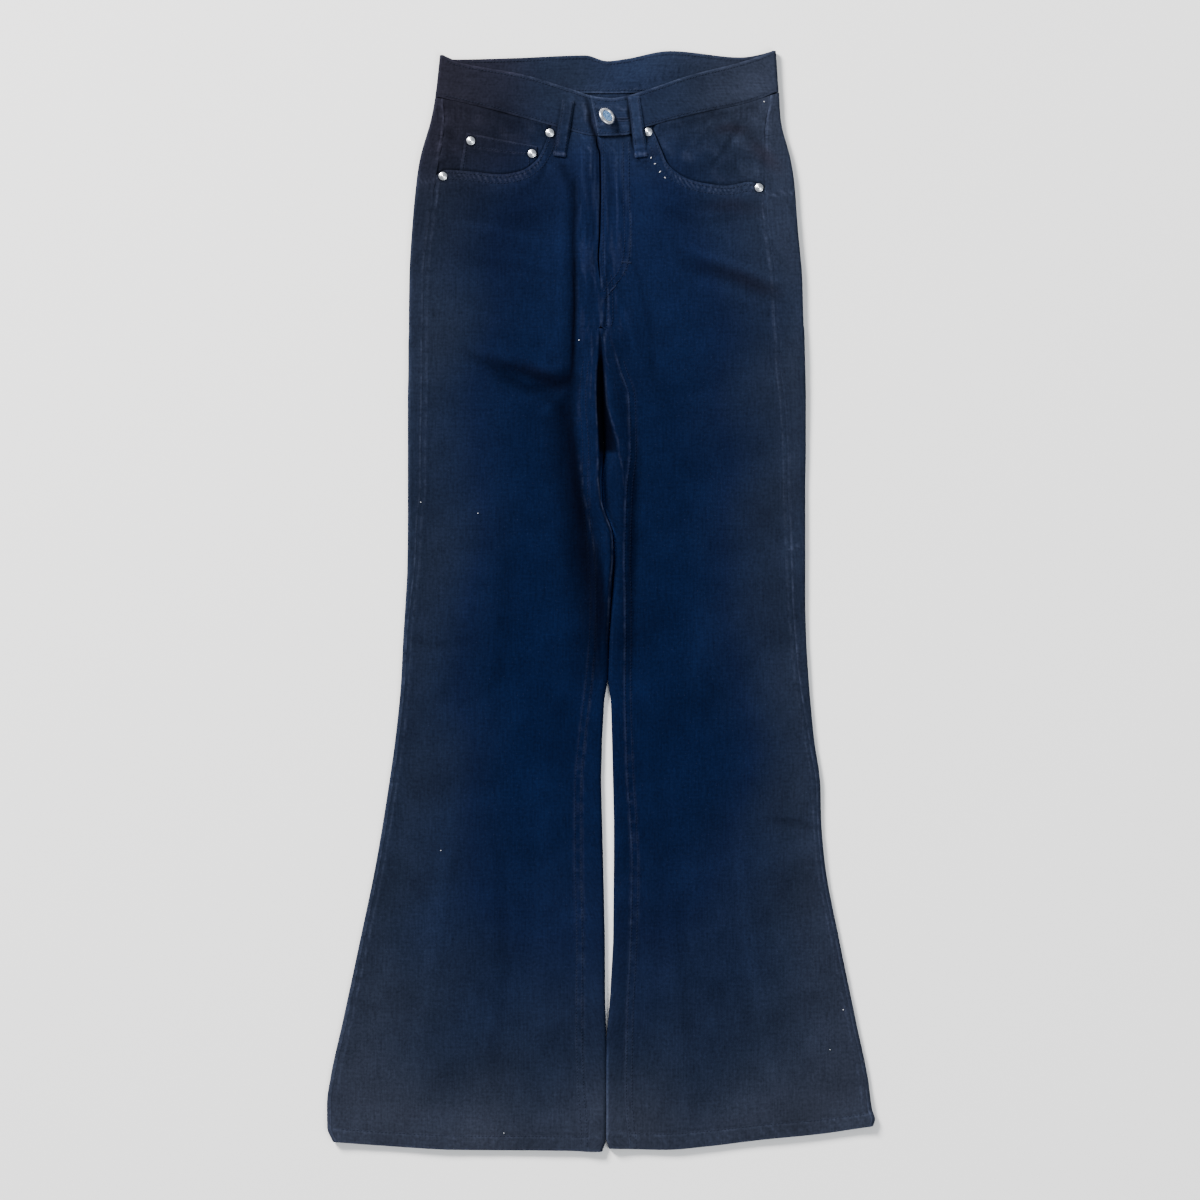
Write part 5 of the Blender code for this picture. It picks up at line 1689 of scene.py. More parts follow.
@dataclass(frozen=True)
class BackPanels(ClothWork):
    """The two back panels, wrapped round both folded edges, and the yokes above them."""

    row: float = 2.6
    strip_cells: int = 7
    arc_cells: int = 12
    under_cells: int = 40
    corner_cells: int = 4
    ridge_cells: int = 10
    inner_cells: int = 7
    reach: float = 1.0
    seam_drop: float = 0.12
    slant_end: float = 200.0
    yoke_top: float = 44.0
    yoke_rows: int = 16
    cut: Cut = Cut(0.285, 0.965, 0.218)
    yoke_cut: Cut = Cut(0.19, 0.075, 0.0097)

    @property
    def under_start(self) -> int:
        """The column where the underside starts."""
        return self.strip_cells + self.arc_cells

    @property
    def under_end(self) -> int:
        """The column where the underside ends."""
        return self.under_start + self.under_cells

    def outer_fold(self, leg: Leg, level: Array) -> tuple[Array, Array]:
        """The folded edge as half an ellipse from the front round to the underside.

        Args:
            leg: The half of the garment.
            level: Levels of the rows, in one column.

        Returns:
            Out and height of the fold.
        """
        angle = np.linspace(pi / 2, -pi / 2, self.arc_cells + 1)
        start = leg.outer(level) - FOLD_REACH
        high, low = self.form.top(leg, start, level), self.form.under(level)
        return start + FOLD_REACH * np.cos(angle), (high + low) / 2 + (high - low) / 2 * np.sin(angle)

    def inner_fold(self, leg: Leg, level: Array) -> tuple[Array, Array, Array, Array]:
        """The inner edge from the underside to the ridge's top.

        Below the fork it is a rounded corner, a pressed wall and a quarter ellipse. Above it the
        ridge falls in an S to the valley's floor.

        Args:
            leg: The half of the garment.
            level: Levels of the rows, in one column.

        Returns:
            Out and height of the corner, and out and height of the ridge.
        """
        edge, low, floor = leg.inner(level), self.form.under(level), leg.thigh["floor"].line(level)
        crest = edge + leg.thigh["inset"].line(level)
        high = self.form.top(leg, crest, level)
        radius = np.minimum(1.45 + 1.1 * smooth_step(level, FORK, FORK + 150.0), (floor - low) * 0.62)
        turn = np.linspace(0.0, pi / 2, self.corner_cells + 1)
        corner_out, corner_high = edge + radius * (1.0 - np.sin(turn)), low + radius * (1.0 - np.cos(turn))
        part = np.linspace(0.0, 1.0, self.ridge_cells + 1)
        apart = smooth_step(level, FORK - 40.0, FORK + 25.0)
        share_out = apart * (1.0 - np.cos(part * pi / 2)) + (1.0 - apart) * part
        share_high = apart * np.sin(part * pi / 2) + (1.0 - apart) * smooth_step(part, 0.1, 1.0)
        return corner_out, corner_high, edge + (crest - edge) * share_out, floor + (high - floor) * share_high

    def section(self, leg: Leg, level: Array) -> tuple[Array, Array]:
        """The outer face at each level, from the outseam round to the inseam.

        Args:
            leg: The half of the garment.
            level: Levels of the rows, in one column.

        Returns:
            The out and height arrays.
        """
        seam = leg.seam(level) + HALF_GAP
        fold_out, fold_high = self.outer_fold(leg, level)
        corner_out, corner_high, ridge_out, ridge_high = self.inner_fold(leg, level)
        strip_out = spread(seam[:, 0], fold_out[:, 0], self.strip_cells)
        strip_high = self.form.top(leg, strip_out, level)
        strip_high = strip_high - edge_fall(strip_out - seam, self.reach, self.seam_drop)
        corner_out[:, :1] = np.where(level >= FORK, corner_out[:, :1], leg.inner(level))
        under_out = spread(fold_out[:, -1], corner_out[:, 0], self.under_cells)
        under_high = self.form.under(level) + self.form.dents(leg.side * under_out, level, leg.outer(level))
        inseam = np.maximum(leg.inseam(level) - HALF_GAP, ridge_out[:, -1:] + 0.4)
        inner_out = spread(ridge_out[:, -1], inseam[:, 0], self.inner_cells)
        fall = edge_fall(inseam - inner_out, self.reach, self.seam_drop)
        fall = fall * smooth_step(inner_out - ridge_out[:, -1:], 0.0, 0.5)
        inner_high = self.form.top(leg, inner_out, level) - fall
        out = (joined(strip_out, fold_out, under_out, corner_out), joined(ridge_out, inner_out))
        high = (joined(strip_high, fold_high, under_high, corner_high), joined(ridge_high, inner_high))
        return np.concatenate(out, axis=1), np.concatenate(high, axis=1)

    def wear_and_painted_light(self, leg: Leg, out: Array, level: Array, end: int) -> Array:
        """Wear and painted light round the section; the hidden side, up to a column, has wear on its hem and
        dents alone.

        Args:
            leg: The half of the garment.
            out: Places out from the centre line.
            level: Nominal levels.
            end: The column where the hidden side ends.

        Returns:
            The wear.
        """
        wear_and_painted_light = self.form.wear_and_painted_light(leg, out, level)
        hidden = 0.7 * bump((leg.last - level - 0.6) / 2.2) + 0.04 * waves(leg.side * out, level, 43, 30.0)
        wear_and_painted_light[:, self.under_start:end] = hidden[:, self.under_start:end]
        return wear_and_painted_light + bump((leg.outer(level) - out) / 4.0) * (0.30 + 0.10 * waves(out, level, 44, 22.0))

    def build_panel(self, leg: Leg, material: Material) -> None:
        """Makes one back panel, slit above the fork along the centre back seam.

        Args:
            leg: The half of the garment.
            material: The finish.
        """
        count = int((leg.last - YOKE_SIDE) / self.row)
        level = np.linspace(YOKE_SIDE + 2.0 * HALF_GAP, leg.last, count)[:, None]
        out, high = self.section(leg, level)
        wall_end = self.under_end + self.corner_cells
        cells = np.ones(np.subtract(out.shape, 1), dtype=bool)
        cells[level[:-1, 0] < FORK - 1.0, self.under_end:wall_end + 1] = False
        cells[level[:-1, 0] < CROTCH - 1.0, wall_end + 1:] = False
        drop = leg.yoke(np.maximum(out, 0.0)) - YOKE_SIDE
        slant = np.clip((self.slant_end - level) / (self.slant_end - YOKE_SIDE), 0.0, 1.0)
        down = leg.down(out, level) + drop * slant
        level = np.broadcast_to(level, out.shape)
        wear_and_painted_light = self.wear_and_painted_light(leg, out, level, self.under_end)
        sheet = Sheet(leg.side * out, level, high, wear_and_painted_light, girth(out, high), down=down, cells=cells)
        self.sew(f"back_panel_{leg.side.word}", sheet, material, self.cut, ("underside",),
                 flip=leg.side is Side.RIGHT, thick_rows=HEM_ROWS)

    def build_yoke(self, leg: Leg, material: Material) -> None:
        """Makes one yoke, folded round the side to the outseam.

        Args:
            leg: The half of the garment.
            material: The finish.
        """
        level = np.linspace(self.yoke_top + GAP, YOKE_SIDE, self.yoke_rows)[:, None]
        out, high = (values[:, :self.under_end + 1] for values in self.section(leg, level))
        turned_under = np.clip((np.arange(out.shape[1]) - self.strip_cells) / self.arc_cells, 0.0, 1.0)
        x = leg.side * out
        top = BAND_BOTTOM(x) + (BACK_BOTTOM(x) - BAND_BOTTOM(x)) * turned_under
        top = top + GAP + (2.0 * HALF_GAP - GAP) * turned_under
        down = top + (leg.yoke(out) - top) * (level - level[0]) / (level[-1] - level[0])
        sheet = Sheet(x, down, high, self.wear_and_painted_light(leg, out, down, out.shape[1]), girth(out, high))
        self.sew(f"yoke_{leg.side.word}", sheet, material, self.yoke_cut, (f"back_panel_{leg.side.word}",),
                 flip=leg.side is Side.RIGHT)

    def build(self, material: Material) -> None:
        """Makes the panels and the yokes.

        Args:
            material: The finish.
        """
        for leg in self.form.legs.values():
            self.build_panel(leg, material)
            self.build_yoke(leg, material)


@dataclass(frozen=True)
class Waistband(ClothWork):
    """One folded strip: right front, side, back, side, and left front to the tab."""

    rows: int = 26
    step: float = 2.2
    arc_cells: int = 12
    depth: float = 39.0
    ends: tuple[float, float] = (-140.0, 152.0)
    back_ends: tuple[float, float] = (-141.0, 153.0)
    back_columns: int = 120
    tab_columns: int = 40
    side_x: float = 170.0
    edge_reach: float = 1.7
    edge_drop: float = 0.6
    cut: Cut = Cut(0.042, 0.65, 0.0265)

    @property
    def part(self) -> Array:
        """Shares down the strip, in one column."""
        return np.linspace(0.0, 1.0, self.rows)[:, None]

    def tab_end(self, part: Array) -> Array:
        """X of the tab's slanting end."""
        return TAB_END[0] + (TAB_END[1] - TAB_END[0]) * part

    def front(self, leg: Leg, columns: Array) -> tuple[Array, Array, Array]:
        """The strip on one front, with its edges rounded and puckered along the stitching.

        Args:
            leg: The half of the garment.
            columns: X of the columns, before the tab slants them.

        Returns:
            The x, level and height arrays.
        """
        x = np.broadcast_to(columns, (self.rows, columns.size))
        if leg.side is Side.LEFT:
            x = x + (self.tab_end(self.part) - TAB_END[0]) * smooth_step(-columns, -14.0, -TAB_END[0])
        top, low = BAND_TOP(x), BAND_BOTTOM(x)
        level = top + (low - top) * self.part
        edge = np.minimum(level - top, low - level)
        if leg.side is Side.LEFT:
            edge = np.minimum(edge, x - x[:, -1:])
        high = self.form.band(leg, x, level) + 0.10 * ripple(x, 8.5, 1.5, 7.0) * bump((edge - 3.2) / 5.0)
        high = high - 0.16 * bump((edge - 3.0) / 1.8) - edge_fall(edge, self.edge_reach, self.edge_drop)
        return x, level, high

    def side_fold(self, leg: Leg) -> tuple[Array, Array, Array]:
        """The strip round one folded side, half an ellipse from the front to the underside.

        Args:
            leg: The half of the garment.

        Returns:
            The x, level and height arrays.
        """
        turn = np.linspace(0.0, pi, self.arc_cells + 1)[::-leg.side]
        top, low = BAND_TOP(leg.side * self.side_x), BAND_BOTTOM(leg.side * self.side_x)
        level = np.broadcast_to(top + (low - top) * self.part, (self.rows, turn.size))
        start = leg.outer(level) - FOLD_REACH
        high = self.form.band(leg, leg.side * start, level)
        high = high - edge_fall(np.minimum(level - top, low - level), self.edge_reach, self.edge_drop)
        high = (high + SEAT_LIFT) / 2 + (high - SEAT_LIFT) / 2 * np.cos(turn)
        return leg.side * (start + FOLD_REACH * np.sin(turn)), level, high

    def back(self) -> tuple[Array, Array, Array]:
        """The strip across the back, its outer face down, with a few soft waves.

        Returns:
            The x, level and height arrays.
        """
        x = np.broadcast_to(np.linspace(*self.back_ends, self.back_columns), (self.rows, self.back_columns))
        top, low = BACK_TOP(x), BACK_BOTTOM(x)
        level = top + (low - top) * self.part
        rucks = ripple(x, 13.0, 2.0, 9.0) * bump((low - level) / 16.0)
        wave = 0.16 * (1.0 + clipped_waves(x, level, 61, 36.0)) + 0.14 * (1.0 + rucks)
        return x, level, SEAT_LIFT + wave * between(x, (-141.0, -120.0), (130.0, 153.0))

    def wear_and_painted_light(self, x: Array, level: Array) -> Array:
        """Wear and painted light of the strip: pale edges and tab end, the creases round the button painted
        paler and darker, and puckers where its back shows above the front.

        Args:
            x: Places across.
            level: Nominal levels.

        Returns:
            The wear.
        """
        edge = np.minimum(self.part, 1.0 - self.part) * self.depth
        broken = 0.75 + 0.3 * clipped_waves(x, level, 62, 12.0, 1.5)
        wear_and_painted_light = broken * np.where(self.part < 0.5, 0.75, 0.45) * bump((edge - 0.5) / 2.0)
        # The creases round the button: ridges painted paler and troughs darker, as painted light and shade
        wear_and_painted_light = wear_and_painted_light - 0.22 * bump((edge - 3.2) / 1.6) + 0.7 * TAB_CREASES.relief(x, level)
        above = BAND_TOP(x) - level
        puckers = np.maximum(ripple(x, 4.1, 1.2, 5.0), 0.0) * bump((above - 7.0) / 7.0) * (above > 0.0)
        wear_and_painted_light = wear_and_painted_light - 0.6 * puckers * between(x, (8.0, 24.0), (70.0, 96.0))
        wear_and_painted_light = wear_and_painted_light + 0.5 * bump((above - 5.0) / 1.2) * between(x, (-14.0, -6.0), (30.0, 44.0))
        near = np.arange(x.shape[1]) > x.shape[1] - self.tab_columns
        tab = bump((x - self.tab_end(self.part)) / 2.2) * near
        return wear_and_painted_light + 0.4 * tab

    def build(self, material: Material) -> None:
        """Makes the waistband.

        Args:
            material: The finish.
        """
        right, left = self.form.legs[Side.RIGHT], self.form.legs[Side.LEFT]
        right_end, left_end = self.ends
        right_x = np.linspace(UNDER_END, right_end, int((UNDER_END - right_end) / self.step))
        left_x = np.linspace(left_end, TAB_END[0], int((left_end - TAB_END[0]) / self.step))
        stretches = (self.front(right, right_x), self.side_fold(right), self.back(), self.side_fold(left),
                     self.front(left, left_x))
        x, level, high = (np.concatenate(parts, axis=1) for parts in zip(*stretches))
        sheet = Sheet(x, level, high, self.wear_and_painted_light(x, level), level, along=girth(x, high))
        below = ("yoke_right", "yoke_left", "front_panel_right", "front_panel_left")
        self.sew("waistband", sheet, material, self.cut, below, flip=True, thickness=BAND_CLOTH)


@dataclass(frozen=True)
class FrontPockets(ClothWork):
    """The facings that show above the pocket mouths, and the coin pocket on the right one."""

    cut: Cut = Cut(0.122, 0.083, 0.0076)
    coin_cut: Cut = Cut(0.075, 0.047, 0.0028)
    coin_top: tuple[tuple[float, float], tuple[float, float]] = ((61.0, 90.5), (128.0, 77.5))
    coin_low: tuple[float, float] = (60.5, 135.5)
    coin_underlap: float = 7.0
    coin_size: tuple[float, float] = (70.0, 45.0)
    facing_grid: tuple[int, int] = (34, 64)
    coin_grid: tuple[int, int] = (30, 44)

    def mouth_shadow(self, leg: Leg, out: Array, level: Array) -> Array:
        """A painted shadow line where a piece runs in under the mouth's lifted edge."""
        return bump((level - leg.mouth(out) + 0.6) / 2.4)

    def facing_place(self, leg: Leg) -> tuple[Array, Array, Array]:
        """Out and level of a facing's places, from the waistband to the front panel, and its out edge.

        Args:
            leg: The half of the garment.

        Returns:
            Out and level of every place, and how far out the edge lies in each row.
        """
        start = leg.mouth_start - FACING_UNDERLAP
        share, part = grid_shares(*self.facing_grid)
        out = start + (leg.mouth.points[-1][0] - start) * share
        for _ in range(4):
            top = BAND_BOTTOM(leg.side * out[:1]) + GAP
            low = leg.mouth(np.maximum(out[-1:], leg.mouth_start)) + FACING_UNDERLAP
            level = top + (low - top) * part
            edge = leg.seam(level) - HALF_GAP
            out = start + (edge - start) * share
        return out, level, edge

    def build_facing(self, leg: Leg, material: Material) -> None:
        """Makes one facing, flush with its neighbours along its cut edges and low inside the pocket.

        Args:
            leg: The half of the garment.
            material: The finish.
        """
        out, level, edge = self.facing_place(leg)
        x, below = leg.side * out, level - level[:1]
        high = self.form.top(leg, out, level) - CLOTH - GAP - 0.12
        high = high + 0.10 * clipped_waves(out, level, 71, 24.0, 1.2)
        flush = np.maximum(fade(edge - out, 2.0, 16.0), fade(below, 0.5, 9.0))
        high = high + (CLOTH + GAP) * flush * smooth_step(leg.mouth(out) - level, 2.5, 12.0)
        high = high - edge_fall(np.minimum(edge - out, below), 1.4, 0.15)
        wear_and_painted_light = 0.3 * bump((edge - out - 0.8) / 1.6) + 0.10 * waves(x, level, 72, 18.0)
        # The mouth's painted shadow line, and the gathers: paler crests, and troughs darker as painted shade
        wear_and_painted_light = wear_and_painted_light - self.mouth_shadow(leg, out, level) + 0.3 * self.form.gathers(x, level)
        if leg.side is Side.LEFT:
            folds = FACING_CREASES.relief(x, level)
            # The creases' ridges are painted paler and their troughs darker, as painted light and shade
            high, wear_and_painted_light = high + folds, wear_and_painted_light + np.clip(0.5 * folds, -0.5, 0.3)
        self.sew(f"pocket_facing_{leg.side.word}", Sheet(x, level, high, wear_and_painted_light, out), material, self.cut,
                 (f"back_panel_{leg.side.word}",), flip=leg.side is Side.RIGHT, thickness=FACING_CLOTH,
                 slot=Slot.FACING)

    def coin_place(self, share: Value, part: Value) -> tuple[Array, Array]:
        """A place on the coin pocket: out and level, from shares across and down it.

        Args:
            share: Shares of the way across.
            part: Shares of the way down.

        Returns:
            The out and level arrays.
        """
        (inner, inner_top), (outer, outer_top) = self.coin_top
        top_out, top = inner + (outer - inner) * share, inner_top + (outer_top - inner_top) * share
        low_out = self.coin_low[0] + (self.coin_low[1] - self.coin_low[0]) * share
        low = self.form.legs[Side.RIGHT].mouth(low_out) + self.coin_underlap
        return top_out + (low_out - top_out) * part, top + (low - top) * part

    def coin_height(self, out: Value, level: Value) -> Array:
        """Height of the coin pocket's outer face."""
        return self.form.top(self.form.legs[Side.RIGHT], out, level) - CLOTH + FACING_CLOTH

    def build_coin(self, material: Material) -> None:
        """Makes the coin pocket: a patch with a turned top hem.

        Args:
            material: The finish.
        """
        share, part = grid_shares(*self.coin_grid)
        out, level = self.coin_place(share, part)
        below, across = self.coin_size[1] * part, self.coin_size[0] * np.minimum(share, 1.0 - share)
        edge = np.minimum(below, across)
        high = self.coin_height(out, level) + 0.3 * between(below, (0.0, 1.0), (12.0, 14.5))
        high = high + 0.1 * ripple(out + level, 5.2) * bump((across - 2.5) / 4.0) - edge_fall(edge, 1.4, 0.5)
        wear_and_painted_light = 0.6 * bump((edge - 0.8) / 2.0) + 0.45 * bump((below - 13.2) / 1.8)
        wear_and_painted_light = wear_and_painted_light * (0.8 + 0.3 * waves(out, level, 73, 11.0)) - 0.3 * bump((below - 15.6) / 2.0)
        # A painted shadow line under the mouth's edge
        wear_and_painted_light = 0.6 * wear_and_painted_light - self.mouth_shadow(self.form.legs[Side.RIGHT], out, level)
        self.sew("coin_pocket", Sheet(-out, level, high, wear_and_painted_light, out), material, self.coin_cut,
                 ("pocket_facing_right",), flip=True, thickness=FACING_CLOTH)

    def build(self, denim: Material, facing: Material) -> None:
        """Makes the facings and the coin pocket.

        Args:
            denim: The coin pocket's finish.
            facing: The facings' finish.
        """
        for leg in self.form.legs.values():
            self.build_facing(leg, facing)
        self.build_coin(denim)


@dataclass(frozen=True)
class FlyFacing(ClothWork):
    """The facing under the left front, whose slot shows beside the fly's edge."""

    start: float = -8.0
    width: float = 34.0
    taper: float = 10.0
    grid: tuple[int, int] = (50, 18)
    cut: Cut = Cut(0.034, 0.122, 0.004)

    def build(self, material: Material) -> None:
        """Makes the facing, a flat strip that narrows at its lower end.

        Args:
            material: The finish.
        """
        across, along = grid_shares(*self.grid)
        x = self.start + (self.width - self.taper * smooth_step(along, 0.75, 1.0)) * across
        top = BAND_BOTTOM(x) + GAP
        level = top + (FLY_END - top) * along
        high = STACK["height"].line(level) - CLOTH - GAP - 0.1 - 0.9 * bump(np.minimum(x, 0.0) / 9.0)
        # Painted shade: the facing lies deep in the slot beside the fly's edge, so its colour is darkened all
        # over
        sheet = Sheet(x, level, high, np.full(x.shape, -0.4), x, shade=np.full(x.shape, 0.7))
        self.sew("fly_facing", sheet, material, self.cut, ("back_panel_left", "back_panel_right"),
                 thickness=FACING_CLOTH, slot=Slot.FACING)


@dataclass(frozen=True)
class BeltLoops(ClothWork):
    """Two loops over the front of the waistband and three flat ones under its back."""

    width: float = 12.5
    bow: float = 0.5
    reach: float = 3.4
    drop: float = 1.9
    ends: dict[Side, tuple[tuple[float, float], tuple[float, float]]] = field(default_factory=lambda: {
        Side.RIGHT: ((-31.0, 47.0), (-39.5, 100.5)), Side.LEFT: ((30.5, 43.5), (38.5, 101.0))})
    length: float = 55.0
    back: dict[str, float] = field(default_factory=lambda: {"right": -104.0, "centre": 0.0, "left": 108.0})
    back_ends: tuple[float, float] = (12.0, 58.0)
    painted_light_gain: float = 1.25
    grid: tuple[int, int] = (44, 17)
    back_grid: tuple[int, int] = (30, 15)
    cut: Cut = Cut(0.0125, 0.058)
    back_cut: Cut = Cut(0.0125, 0.046)

    def middle(self, side: Side, along: Value, across: Value) -> tuple[Array, Array]:
        """X and down of places on a front loop, which runs straight between its ends.

        Args:
            side: Which loop.
            along: Shares of the way down.
            across: Millimetres to the +X side of its middle line.

        Returns:
            The x and down arrays.
        """
        top, low = np.array(self.ends[side])
        run_x, run_down = (low - top) / np.hypot(*(low - top))
        x, down = (first + (last - first) * along for first, last in zip(top, low))
        return x + across * run_down, down - across * run_x

    def place(self, side: Side, along: Value, across: Value) -> Array:
        """Places on a front loop's outer face.

        It rides the higher of panel and waistband, as they are under its whole width, and bows up
        between its ends.

        Args:
            side: Which loop.
            along: Shares of the way down.
            across: Millimetres to the +X side of its middle line.

        Returns:
            x, down and height on a last axis.
        """
        leg = self.form.legs[side]
        seats = []
        for offset in np.linspace(-0.5, 0.5, 5) * self.width:
            x, down = self.middle(side, along, offset)
            panel, band = self.form.front(leg, side * x, down), self.form.band(leg, x, down)
            on_band = fade(down - BAND_BOTTOM(x), 3.0, 14.0)
            seats.append(np.maximum(panel, panel + (band - panel) * on_band))
        x, down = self.middle(side, along, across)
        bow = self.bow * np.sin(pi * np.clip(along * 1.25, 0.0, 1.0))
        high = np.max(seats, axis=0) + GAP + LOOP_CLOTH + bow
        high = high + 0.16 * bump((np.abs(across) - self.width * 0.34) / (self.width * 0.16))
        high = high - edge_fall(self.width / 2 - np.abs(across), self.reach, self.drop)
        return line(x, down, high + 0.12 * waves(x, down, 81, 15.0))

    def build_front(self, side: Side, material: Material) -> None:
        """Makes one front loop, turned under at its ends and pale where it is rubbed.

        Args:
            side: Which loop.
            material: The finish.
        """
        share, along = grid_shares(*self.grid)
        across = (share - 0.5) * self.width
        x, down, high = np.moveaxis(self.place(side, along, across), -1, 0)
        end = np.minimum(along, 1.0 - along) * self.length
        foot = np.where(along > 0.5, end, np.inf)
        # Pale edges and bartack foot, and a painted shadow line just below the lower bartack
        wear_and_painted_light = 0.12 * bump((self.width / 2 - np.abs(across) - 2.6) / 2.6) + 0.65 * bump((foot - 2.6) / 2.6)
        wear_and_painted_light = wear_and_painted_light * (0.7 + 0.5 * waves(x, down, 82, 7.0)) - 0.5 * bump((foot - 7.0) / 1.6)
        wear_and_painted_light = wear_and_painted_light + RUBBED_AND_HIGHLIT.relief(x, down)
        # Painted light: the left loop is brightened throughout, and each loop's right edge gets a painted
        # highlight over its real shadow
        lit = (self.painted_light_gain if side is Side.LEFT else 1.0) * self.form.shade(x, down)
        lit = lit * (1.0 + 1.2 * smooth_step(across, 0.34 * self.width, 0.48 * self.width))
        sheet = Sheet(x, down, high - edge_fall(end, 1.4, 0.5), wear_and_painted_light, x, shade=lit)
        below = ("waistband", f"front_panel_{side.word}")
        self.sew(f"belt_loop_front_{side.word}", sheet, material, self.cut, below, thickness=LOOP_CLOTH)

    def build_back(self, name: str, x: float, material: Material) -> None:
        """Makes one back loop, flat on the surface, its outer face down and its edges rounded.

        Args:
            name: The loop's name.
            x: Where its middle line lies.
            material: The finish.
        """
        share, part = grid_shares(*self.back_grid)
        across = (share - 0.5) * self.width
        length = self.back_ends[1] - self.back_ends[0]
        down = self.back_ends[0] + length * part
        edge = np.minimum(self.width / 2 - np.abs(across), np.minimum(part, 1.0 - part) * length)
        wear_and_painted_light = 0.6 * bump((edge - 0.5) / 1.6)
        high = edge_fall(edge, 1.3, 0.35)
        sheet = Sheet(x + across, down, high, wear_and_painted_light, across, shade=np.ones(wear_and_painted_light.shape))
        self.sew(f"belt_loop_back_{name}", sheet, material, self.back_cut, ("underside",), flip=True,
                 thickness=SEAT_LIFT - GAP - 0.1)

    def build(self, material: Material) -> None:
        """Makes all five loops.

        Args:
            material: The finish.
        """
        for side in Side:
            self.build_front(side, material)
        for name, x in self.back.items():
            self.build_back(name, x, material)


@dataclass(frozen=True)
class BackPockets(ClothWork):
    """The two back pockets, plain five-sided patches on the hidden side."""

    inner: float = 34.0
    top: float = 146.0
    top_width: float = 138.0
    low_width: float = 116.0
    side: float = 124.0
    point: float = 146.0
    lean: float = 6.0
    grid: tuple[int, int] = (57, 57)
    cut: Cut = Cut(0.138, 0.146, 0.0173)

    def place(self, share: Value, part: Value) -> tuple[Array, Array]:
        """Out and down of a place, from shares across and down the patch.

        Each column runs straight from the top edge to the bottom edge, which is two straight
        stretches that meet in the point.

        Args:
            share: Shares of the way across, from the inner side.
            part: Shares of the way down.

        Returns:
            The out and down arrays.
        """
        taper = (self.top_width - self.low_width) / 2
        outer, foot = self.inner + self.top_width, self.top + self.side
        corners = ((self.inner + taper, foot), ((self.inner + outer) / 2, self.top + self.point),
                   (outer - taper, foot - self.lean))
        low_out, low_down = (np.interp(share, (0.0, 0.5, 1.0), values) for values in zip(*corners))
        top_out, top_down = self.inner + self.top_width * share, self.top - self.lean * share
        return top_out + (low_out - top_out) * part, top_down + (low_down - top_down) * part

    def build(self, material: Material) -> None:
        """Makes both pockets.

        Args:
            material: The finish.
        """
        share, part = grid_shares(*self.grid)
        out, down = self.place(share, part)
        below = part * self.point
        across = np.minimum(share, 1.0 - share) * self.top_width
        edge = np.minimum(across, np.minimum(below, self.point - below))
        high = edge_fall(edge, 1.5, 0.35) + 0.12 * bump((below - 19.0) / 2.5)
        high = high + 0.06 * (1.0 + clipped_waves(out, down, 91, 40.0))
        wear_and_painted_light = 0.6 * bump((edge - 0.8) / 2.2) + 0.3 * bump((below - 18.0) / 2.0)
        for side in Side:
            sheet = Sheet(side * out, down, high, wear_and_painted_light, out, shade=np.ones(wear_and_painted_light.shape))
            self.sew(f"back_pocket_{side.word}", sheet, material, self.cut, ("underside",),
                     flip=side is Side.LEFT, thickness=SEAT_LIFT - GAP - 0.15)


